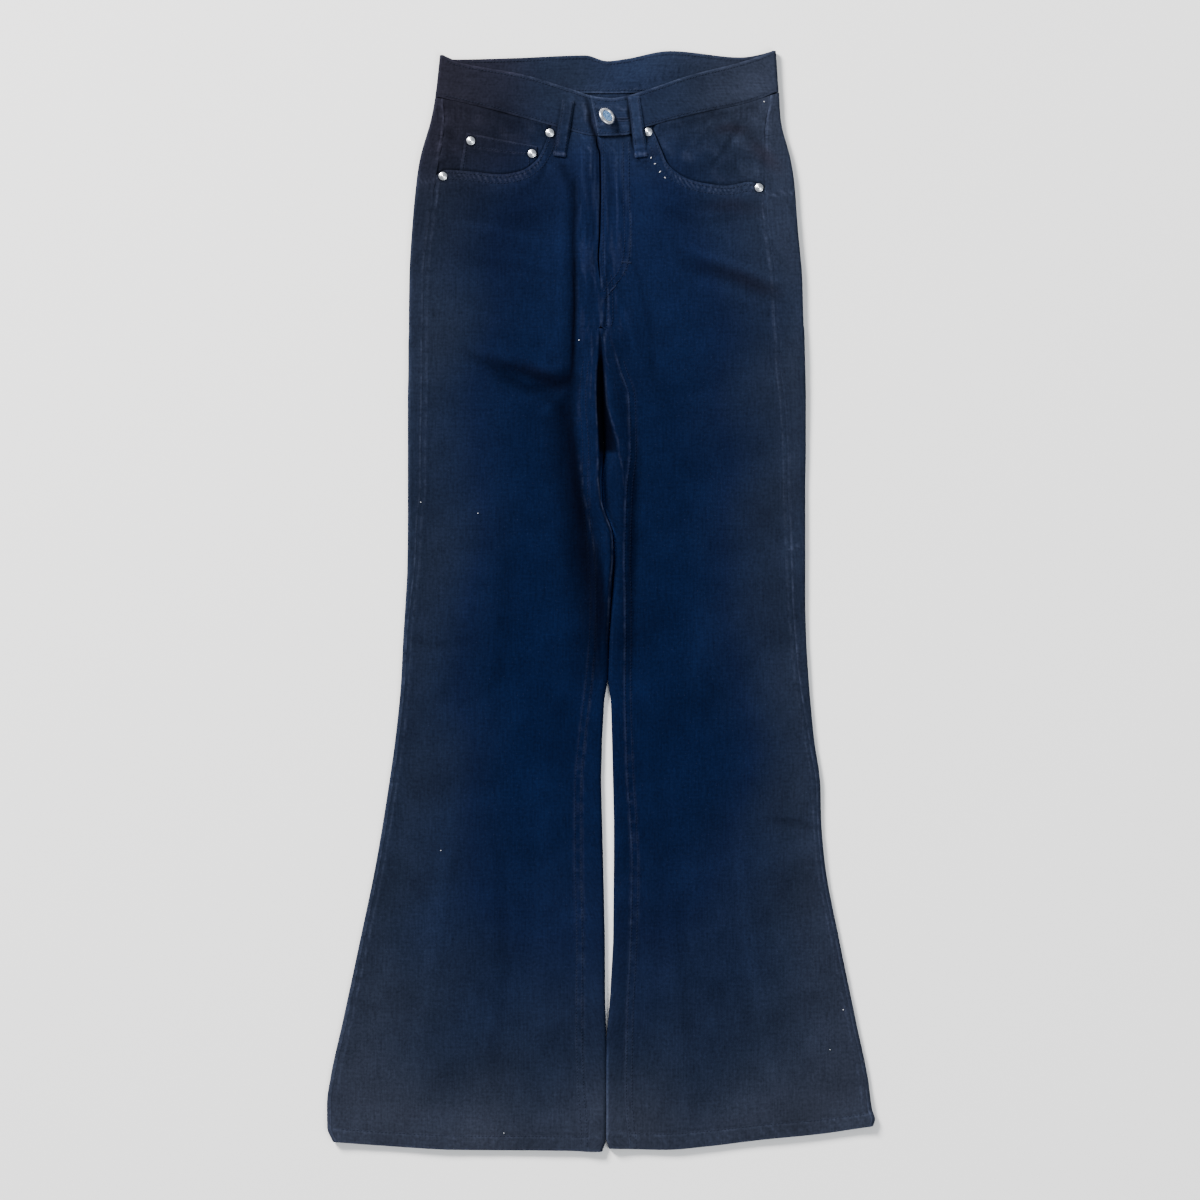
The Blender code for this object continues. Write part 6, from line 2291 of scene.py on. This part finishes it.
class Thread:
    """Collects stitches and makes each set one piece.

    A stitch is a bent spindle between two places. Its middle line rises by BOW sin(pi t) less SINK,
    and its radius falls towards NECK of itself at both tips, which DIVE into the cloth.
    """

    RINGS = (0.22, 0.5, 0.78)
    SIDES = 5
    DIVE = 0.16
    BOW = 0.24
    SINK = 0.04
    NECK = 0.72
    JITTER = 0.05
    SWAY = 0.07
    TACK_RADIUS = 0.26

    def __init__(self, form: JeansForm, seed: int) -> None:
        """Starts an empty set."""
        self.form = form
        self.random = np.random.default_rng(seed)
        self.parts: list[tuple[Array, Array, Array, Array]] = []

    def add(self, start: Array, end: Array, up: float, radius: float) -> None:
        """Adds stitches between places given as x, down and height."""
        count = len(start)
        self.parts.append((start, end, np.full(count, up), np.full(count, radius)))

    def row(self, places: Array, up: float = 1.0, pitch: float = 3.1, share: float = 0.80,
            radius: float = 0.27) -> None:
        """Sews a row of stitches along a line.

        Args:
            places: Close places along the row: x, down and height.
            up: 1 where the cloth faces up, -1 where it faces down.
            pitch: Length of a stitch with its gap.
            share: Share of the pitch that shows.
            radius: Thread radius.
        """
        run = np.concatenate(((0.0,), np.cumsum(np.linalg.norm(np.diff(places, axis=0), axis=1))))
        count = int(run[-1] / pitch)
        if count < 1:
            return
        jitter = self.random.normal(0.0, self.JITTER * pitch, (2, count))
        begin = pitch * (np.arange(count) + (1.0 - share) / 2) + jitter[0]
        finish = begin + pitch * share + jitter[1] * 0.5
        start, end = (np.stack([np.interp(at, run, axis) for axis in places.T], axis=-1)
                      for at in (begin, finish))
        sway = self.random.normal(0.0, self.SWAY, (count, 2))
        start[:, :2] += sway
        end[:, :2] -= sway * 0.5
        self.add(start, end, up, radius)

    def tack(self, ends: Array, reach: float, up: float = 1.0, step: float = 0.42) -> None:
        """Sews a bartack: short stitches side by side between two ends, each running down by reach.

        Args:
            ends: The first and last place, as x, down and height.
            reach: Length of each stitch.
            up: 1 where the cloth faces up, -1 where it faces down.
            step: Distance from stitch to stitch.
        """
        first, second = ends
        count = max(2, int(float(np.linalg.norm(second - first)) / step))
        part = (np.arange(count) / (count - 1))[:, None]
        uneven = self.random.normal(0.0, self.JITTER, (count, 3)) * (1.0, 1.0, 0.3)
        middle = first + (second - first) * part + uneven
        half = np.array((0.0, reach / 2, 0.0))
        self.add(middle - half, middle + half, up, self.TACK_RADIUS)

    def spindles(self, start: Array, end: Array, up: Array, radius: Array) -> Array:
        """Points of every stitch: its first tip, its rings and its last tip.

        Args:
            start: Each stitch's first place, in frame millimetres.
            end: Its last place.
            up: 1 or -1, the way that its cloth faces.
            radius: Thread radii.

        Returns:
            The points, as stitches by points by 3.
        """
        way = (end - start) / np.linalg.norm(end - start, axis=1, keepdims=True)
        beside = np.cross(way, np.multiply.outer(up, (0.0, 0.0, 1.0)))
        beside = beside / np.linalg.norm(beside, axis=1, keepdims=True)
        above = np.cross(beside, way)
        angle = np.arange(self.SIDES)[:, None] * 2.0 * pi / self.SIDES
        circle = beside[:, None] * np.cos(angle) + above[:, None] * np.sin(angle)
        rings = [start[:, None] - self.DIVE * above[:, None]]
        for place in self.RINGS:
            bend = sin(pi * place)
            centre = start + (end - start) * place + above * (self.BOW * bend - self.SINK)
            size = radius * (self.NECK + (1.0 - self.NECK) * bend)
            rings.append(centre[:, None] + circle * size[:, None, None])
        rings.append(end[:, None] - self.DIVE * above[:, None])
        return np.concatenate(rings, axis=1)

    def faces(self) -> NDArray[np.int64]:
        """One stitch's triangles: a fan at each tip and two triangles a side between the rings.

        Returns:
            Vertex numbers, three to a row.
        """
        here = np.arange(self.SIDES)
        after = (here + 1) % self.SIDES
        tip = 1 + len(self.RINGS) * self.SIDES
        faces = [np.stack((0 * here, 1 + after, 1 + here), axis=-1)]
        for low in range(1, tip - self.SIDES, self.SIDES):
            high = low + self.SIDES
            faces.append(np.stack((low + here, low + after, high + after), axis=-1))
            faces.append(np.stack((low + here, high + after, high + here), axis=-1))
        faces.append(np.stack((tip - self.SIDES + here, tip - self.SIDES + after, tip + 0 * here), axis=-1))
        return np.concatenate(faces)

    def build(self, name: str, material: Material) -> None:
        """Makes the collected stitches one piece and enters it.

        Args:
            name: The piece's name.
            material: The finish.
        """
        start, end, up, radius = (np.concatenate(values) for values in zip(*self.parts))
        x, down, _ = ((start + end) / 2).T
        start, end = spot(*start.T) / MM, spot(*end.T) / MM
        points = self.spindles(start, end, up, radius)
        each = points.shape[1]
        faces = self.faces() + each * np.arange(len(points))[:, None, None]
        mesh = bpy.data.meshes.new(name)
        fill_mesh(mesh, points.reshape(-1, 3) * MM, faces.reshape(-1, 3))
        add_fact(mesh, "tone", np.repeat(self.form.tone(x, down), each))
        # Each stitch takes the painted shade of the cloth under it
        add_fact(mesh, "shade", np.repeat(self.form.shade(x, down), each))
        enter(add_piece(name, mesh, material), (), Slot.DENIM)


@dataclass(frozen=True)
class Stitching:
    """All the rows of stitching, on the front and on the hidden side."""

    form: JeansForm
    pockets: FrontPockets
    loops: BeltLoops
    back_pockets: BackPockets
    over: float = 0.10
    hem_row: float = HEM_DEPTH - 1.2

    def on_front(self, leg: Leg, x: Array, level: Value) -> Array:
        """A line on a front panel, as x, down and height."""
        out = leg.side * x
        return line(x, leg.down(out, level), self.form.front(leg, out, level) + self.over)

    def on_band(self, leg: Leg, x: Array, level: Value) -> Array:
        """A line on the front of the waistband."""
        return line(x, level, self.form.band(leg, x, level))

    def sew_leg(self, thread: Thread, leg: Leg) -> None:
        """Sews a leg's pocket mouth, inseam and hem.

        Args:
            thread: The set that the stitches join.
            leg: The half of the garment.
        """
        side, last = leg.side, leg.last
        out = np.linspace(leg.mouth_start + 2.0, leg.mouth.points[-1][0] + 6.0, 90)
        for offset in (2.4, 8.4):
            x, level = Trail(side * out, leg.mouth(out)).beside(side * offset).walk()
            keep = (level > BAND_BOTTOM(x) + 2.0) & (side * x < leg.seam(level) - 1.0)
            thread.row(self.on_front(leg, x[keep], level[keep]))
        level = np.linspace(CROTCH + 30.0, last - 1.0, 520)
        for offset in (1.9, 7.1):
            thread.row(self.on_front(leg, side * (leg.inseam(level) + offset), level))
        out = np.linspace(leg.inseam(last) + 1.0, leg.seam(last) - 1.0, 160)
        thread.row(self.on_front(leg, side * out, last - self.hem_row), pitch=3.4)
        out = np.linspace(leg.seam(last) + 0.8, leg.outer(last) - 2.6, 6)
        level = last - self.hem_row
        high = self.form.top(leg, out, level) + self.over
        thread.row(line(side * out, leg.down(out, level), high), pitch=3.0)

    def sew_fly(self, thread: Thread) -> None:
        """Sews the fly: curved double row, edge row, centre seam below it and two bartacks.

        Args:
            thread: The set that the stitches join.
        """
        leg = self.form.legs[Side.LEFT]
        level = np.linspace(86.0, 241.0, 110)
        for offset in (0.0, 5.4):
            x, down = Trail(FLY_EDGE(level) - 0.6, level).beside(offset).walk()
            thread.row(self.on_front(leg, x[x > 1.2], down[x > 1.2]))
        level = np.linspace(86.0, 226.0, 90)
        thread.row(self.on_front(leg, np.full(level.shape, 1.9), level))
        level = np.linspace(212.0, 262.0, 30)
        for offset in (1.6, 6.6):
            thread.row(self.on_front(leg, CENTRE_SEAM(level) + offset, level))
        for x, down in (((19.5, 28.5), (200.5, 201.0)), ((9.0, 14.0), (228.0, 223.0))):
            thread.tack(self.on_front(leg, np.array(x), np.array(down)), 2.6)

    def sew_band(self, thread: Thread) -> None:
        """Sews the waistband's two long edges, its tab end and the buttonhole.

        Args:
            thread: The set that the stitches join.
        """
        for side, start, end in ((Side.RIGHT, -10.0, -150.0), (Side.LEFT, -4.0, 160.0)):
            leg = self.form.legs[side]
            x = np.linspace(start, end, 150)
            thread.row(self.on_band(leg, x, BAND_TOP(x) + 3.0))
            thread.row(self.on_band(leg, x, BAND_BOTTOM(x) - 3.0))
        leg = self.form.legs[Side.LEFT]
        part = np.linspace(0.09, 0.91, 24)
        x = TAB_END[0] + (TAB_END[1] - TAB_END[0]) * part + 2.8
        thread.row(self.on_band(leg, x, BAND_TOP(x) * (1.0 - part) + BAND_BOTTOM(x) * part))
        for down in (64.0, 66.6):
            thread.tack(self.on_band(leg, np.array((11.0, 27.5)), down), 1.7, step=0.55)

    def sew_coin(self, thread: Thread) -> None:
        """Sews the coin pocket's top hem and its sides.

        Args:
            thread: The set that the stitches join.
        """
        part = np.linspace(0.02, 0.98, 60)
        rows = [(part, 0.045), (part, 0.27)] + [(across, 0.98 * part) for across in (0.035, 0.965, 0.11)]
        leg = self.form.legs[Side.RIGHT]
        for share, along in rows:
            out, level = self.pockets.coin_place(share, along)
            keep = level < leg.mouth(out) - 0.5
            out, level = out[keep], level[keep]
            thread.row(line(-out, level, self.pockets.coin_height(out, level) + 0.25), pitch=2.8)

    def sew_loops(self, thread: Thread) -> None:
        """Sews two rows down each front loop and a bartack across each of its ends.

        Args:
            thread: The set that the stitches join.
        """
        half = self.loops.width / 2
        lifted, raised = (0.0, 0.0, self.over), (0.0, 0.0, 0.15)
        for side in Side:
            for across in (-half * 0.68, half * 0.68):
                places = self.loops.place(side, np.linspace(0.05, 0.93, 40), across)
                thread.row(places + lifted, pitch=2.9, radius=0.2)
            for share in (0.035, 0.955):
                thread.tack(self.loops.place(side, share, np.array((-half + 0.8, half - 0.8))) + raised, 2.8)

    def sew_hidden_leg(self, thread: Thread, leg: Leg) -> None:
        """Sews a half's yoke seam, back pocket and hem on the hidden side.

        Args:
            thread: The set that the stitches join.
            leg: The half of the garment.
        """
        out = np.linspace(4.0, leg.outer(YOKE_SIDE) - 8.0, 90)
        for offset in (2.2, 8.0):
            thread.row(line(leg.side * out, leg.yoke(out) + offset, SEAT_LIFT - 0.1), up=-1.0)
        rows = []
        for low in (0.022, 0.075):
            high = 1.0 - low
            drop = np.linspace(0.02, high, 40)
            share = np.concatenate((np.full(40, low), np.linspace(low, high, 60), np.full(40, high)))
            rows.append((share, np.concatenate((drop, np.full(60, high), drop[::-1]))))
        rows += [(np.linspace(0.03, 0.97, 60), part) for part in (0.02, 0.12)]
        for share, part in rows:
            out, down = self.back_pockets.place(share, part)
            thread.row(line(leg.side * out, down, 0.2), up=-1.0)
        out = np.linspace(leg.inner(leg.last) + 4.0, leg.outer(leg.last) - 5.0, 120)
        thread.row(line(leg.side * out, leg.down(out, leg.last - self.hem_row), 0.3), up=-1.0)

    def sew_hidden(self, thread: Thread) -> None:
        """Sews the hidden side: both halves, centre back, loops and the band's inside.

        Args:
            thread: The set that the stitches join.
        """
        for leg in self.form.legs.values():
            self.sew_hidden_leg(thread, leg)
        for x in (2.4, 8.0):
            thread.row(line(x, np.linspace(116.0, 258.0, 60), SEAT_LIFT - 0.1), up=-1.0)
        top, low = self.loops.back_ends
        for x in self.loops.back.values():
            for offset in (-4.2, 4.2):
                thread.row(line(x + offset, np.linspace(top + 3.0, low - 3.0, 20), 0.2), up=-1.0)
            for down in (top + 1.6, low - 1.6):
                thread.tack(line(np.array((x - 5.4, x + 5.4)), down, 0.18), 2.4, up=-1.0)
        x = np.linspace(-128.0, 138.0, 150)
        for edge in (BACK_TOP(x) + 3.0, BACK_BOTTOM(x) - 3.0):
            thread.row(line(x, edge, SEAT_LIFT + BAND_CLOTH + 0.45))

    def build(self, material: Material) -> None:
        """Makes the front's and the hidden side's stitching.

        Args:
            material: The finish.
        """
        thread = Thread(self.form, 5)
        for leg in self.form.legs.values():
            self.sew_leg(thread, leg)
        self.sew_fly(thread)
        self.sew_band(thread)
        self.sew_coin(thread)
        self.sew_loops(thread)
        thread.build("stitching_front", material)
        thread = Thread(self.form, 6)
        self.sew_hidden(thread)
        thread.build("stitching_hidden", material)


@dataclass(frozen=True)
class Hardware:
    """The waist button, tipped on its shank, and six domed rivets.

    A profile is rows of radius and height, from the top of the axis round to its foot.
    """

    form: JeansForm
    button: tuple[float, float] = (4.9, 63.4)
    tilt: float = 46.0
    stand: float = 5.87
    tilt_way: tuple[float, float] = (0.818, 0.575)
    button_steps: int = 56
    rivet_steps: int = 36
    rivet_seat: float = 3.0
    ring: tuple[tuple[float, float], ...] = (
        (0, 2), (5, 2), (5.5, 2.1), (5.8, 2.7), (6.3, 3.05), (7.2, 3.1), (8.2, 2.8), (8.9, 2.2), (9.2, 1.5),
        (9.1, 0.9), (8.6, 0.45), (7, 0.3), (4.6, 0.2), (3.2, -0.2), (2.6, -0.9), (2.4, -5.5), (0, -5.5))
    inlay: tuple[tuple[float, float], ...] = (
        (0, 2.62), (1.4, 2.66), (1.6, 2.5), (1.9, 2.46), (3.6, 2.4), (3.9, 2.52), (4.4, 2.5), (5.2, 2.3),
        (5.6, 2.05), (4, 1.9), (0, 1.9))
    dome: tuple[tuple[float, float], ...] = (
        (0, 2.15), (0.35, 2.1), (0.75, 1.78), (1.2, 1.66), (2, 1.5), (2.8, 1.2), (3.3, 0.85), (3.55, 0.62),
        (3.8, 0.62), (3.98, 0.45), (4, 0.2), (3.8, -0.1), (0, -0.1))

    def add(self, name: str, points: Array, faces: NDArray[np.int64], material: Material,
            nodes: tuple[str, ...]) -> None:
        """Makes and enters a piece from points in metres.

        Args:
            name: The piece's name.
            points: Places in metres.
            faces: Vertex numbers, three to a row.
            material: The finish.
            nodes: The nodes of the frame that it stands for.
        """
        mesh = bpy.data.meshes.new(name)
        fill_mesh(mesh, points, faces)
        enter(add_piece(name, mesh, material), nodes, Slot.STEEL)

    def build_button(self, steel: Material, disc: Material) -> None:
        """Makes the button's ring and its inlaid disc, both turned about one tilted axis.

        Args:
            steel: The ring's finish.
            disc: The disc's finish.
        """
        angle = radians(self.tilt)
        way = np.array((*self.tilt_way, 0.0)) / np.hypot(*self.tilt_way)
        upright = np.array((0.0, 0.0, 1.0))
        normal = way * sin(angle) + upright * cos(angle)
        slope = way * cos(angle) - upright * sin(angle)
        axes = np.stack((slope, np.cross(normal, slope), normal))
        seat = float(self.form.band(self.form.legs[Side.LEFT], *self.button))
        centre = spot(*self.button, seat + GAP + self.stand)
        for name, profile, material, nodes in (
                ("button_ring", self.ring, steel, ("button",)), ("button_disc", self.inlay, disc, ())):
            points, faces = turned(profile, self.button_steps)
            self.add(name, points @ axes * MM + centre, faces, material, nodes)

    def build_rivet(self, name: str, x: float, down: float, material: Material) -> None:
        """Makes one rivet, seated on the mean height of the cloth under it: rim, dome and point.

        Args:
            name: The rivet's name.
            x: Its place across.
            down: Its place down the garment.
            material: The finish.
        """
        leg = self.form.legs[Side.RIGHT if x < 0 else Side.LEFT]
        turn = np.linspace(0.0, 2.0 * pi, 13)
        out = leg.side * (x + self.rivet_seat * np.cos(turn))
        level = down + self.rivet_seat * np.sin(turn)
        if name.startswith("coin"):
            seat = float(np.mean(self.form.top(leg, out, level))) - CLOTH + FACING_CLOTH + 0.15
        else:
            seat = float(np.mean(self.form.front(leg, out, level))) + 0.1
        points, faces = turned(self.dome, self.rivet_steps)
        self.add(f"rivet_{name}_dome", points * MM + spot(x, down, seat), faces, material, (f"rivet_{name}",))

    def build(self, finishes: Finishes) -> None:
        """Makes all the metal.

        Args:
            finishes: All the garment's finishes.
        """
        self.build_button(finishes.steel, finishes.disc)
        for name, (x, down) in RIVETS.items():
            self.build_rivet(name, x, down, finishes.steel)


@dataclass(frozen=True)
class Lint:
    """A few pale bits of fluff caught on the cloth: x, down and length of each."""

    form: JeansForm
    bits: tuple[tuple[float, float, float], ...] = (
        (47.5, 101.6, 2.2), (51.3, 107.3, 1.9), (56.0, 114.9, 2.6), (60.8, 120.6, 2.0), (154.8, 48.4, 1.6),
        (-20.9, 274.6, 1.6), (-171.0, 428.4, 1.3), (-116.8, 438.9, 1.1), (-152.0, 759.0, 1.1),
        (229.9, 910.1, 1.3), (-92.1, 1027.0, 1.1), (217.5, 948.1, 1.0),
    )

    def build(self, material: Material) -> None:
        """Makes the bits one piece, each a short soft fibre lying on the front.

        Args:
            material: The finish.
        """
        thread = Thread(self.form, 7)
        for x, down, length in self.bits:
            leg = self.form.legs[Side.RIGHT if x < 0 else Side.LEFT]
            centre = np.array((x, down, float(self.form.front(leg, leg.side * x, down)) + 0.35))
            turn = thread.random.uniform(0.0, pi)
            reach = np.array((cos(turn), sin(turn), 0.0)) * length / 2
            thread.add((centre - reach)[None], (centre + reach)[None], 1.0, 0.4)
        thread.build("lint_bits", material)


@dataclass(frozen=True)
class Lamp:
    """A square soft light that faces the garment's middle, in metres and watts."""

    name: str
    place: tuple[float, float, float]
    size: float
    power: float
    colour: tuple[float, float, float]

    def build(self) -> None:
        """Adds the light."""
        lamp = bpy.data.lights.new(self.name, "AREA")
        lamp.shape = "SQUARE"
        lamp.size = self.size
        lamp.energy = self.power
        lamp.color = self.colour
        thing = bpy.data.objects.new(self.name, lamp)
        bpy.context.scene.collection.objects.link(thing)
        thing.location = self.place
        away = np.array(self.place) / np.linalg.norm(self.place)
        thing.rotation_euler = (float(np.arccos(away[2])), 0.0, float(np.arctan2(away[1], away[0]) + pi / 2))


@dataclass(frozen=True)
class Studio:
    """Pale floor, soft lights and a camera straight above."""

    camera: tuple[float, float, float] = (-0.00095, 0.0013, 5.2)
    view_width: float = 1.140
    sensor: float = 36.0
    floor_half: float = 7.0
    floor_level: float = -0.0004
    sky: tuple[float, float, float] = (0.93, 0.96, 1.0)
    sky_strength: float = 0.45
    lamps: tuple[Lamp, ...] = (
        Lamp("key", (-3.4, 3.8, 3.4), 1.9, 1170.0, (1.0, 0.98, 0.96)),
        Lamp("fill", (2.4, -1.6, 4.2), 2.5, 140.0, (0.95, 0.98, 1.0)),
    )

    def add_floor(self, material: Material) -> None:
        """Adds the floor.

        Args:
            material: The finish.
        """
        points = np.array(((-1, -1, 0), (1, -1, 0), (1, 1, 0), (-1, 1, 0))) * self.floor_half
        mesh = bpy.data.meshes.new("floor")
        fill_mesh(mesh, points + (0.0, 0.0, self.floor_level), np.array(((0, 1, 2, 3),)))
        add_piece("floor", mesh, material)

    def add_camera(self) -> None:
        """Adds the camera, whose lens frames the view's width at the garment's height."""
        lens = bpy.data.cameras.new("camera")
        lens.sensor_width = self.sensor
        lens.lens = self.sensor * self.camera[2] / self.view_width
        camera = bpy.data.objects.new("camera", lens)
        bpy.context.scene.collection.objects.link(camera)
        camera.location = self.camera
        bpy.context.scene.camera = camera

    def build(self, floor: Material) -> None:
        """Sets the whole studio.

        Args:
            floor: The floor's finish.
        """
        world = bpy.data.worlds.new("studio")
        bpy.context.scene.world = world
        world.use_nodes = True
        sky = world.node_tree.nodes["Background"].inputs
        sky["Color"].default_value = (*self.sky, 1.0)
        sky["Strength"].default_value = self.sky_strength
        self.add_floor(floor)
        for lamp in self.lamps:
            lamp.build()
        self.add_camera()


def main() -> None:
    """Builds the garment round the frame, and the studio."""
    logging.basicConfig(level=logging.INFO, format="%(name)s: %(message)s")
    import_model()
    form = JeansForm({
        Side.RIGHT: Leg(Side.RIGHT, RIGHT_OUTLINE, RIGHT_THIGH, RIGHT_MOUTH, RIGHT_HEM),
        Side.LEFT: Leg(Side.LEFT, LEFT_OUTLINE, LEFT_THIGH, LEFT_MOUTH, LEFT_HEM),
    })
    finishes = Finishes.make()
    pockets, loops, back_pockets = FrontPockets(form), BeltLoops(form), BackPockets(form)
    BackPanels(form).build(finishes.denim)
    FrontPanels(form).build(finishes.denim)
    Waistband(form).build(finishes.band)
    pockets.build(finishes.denim, finishes.facing)
    FlyFacing(form).build(finishes.facing)
    loops.build(finishes.denim)
    back_pockets.build(finishes.denim)
    Stitching(form, pockets, loops, back_pockets).build(finishes.thread)
    Hardware(form).build(finishes)
    Lint(form).build(finishes.lint)
    Studio().build(finishes.floor)


if __name__ == "__main__":
    main()
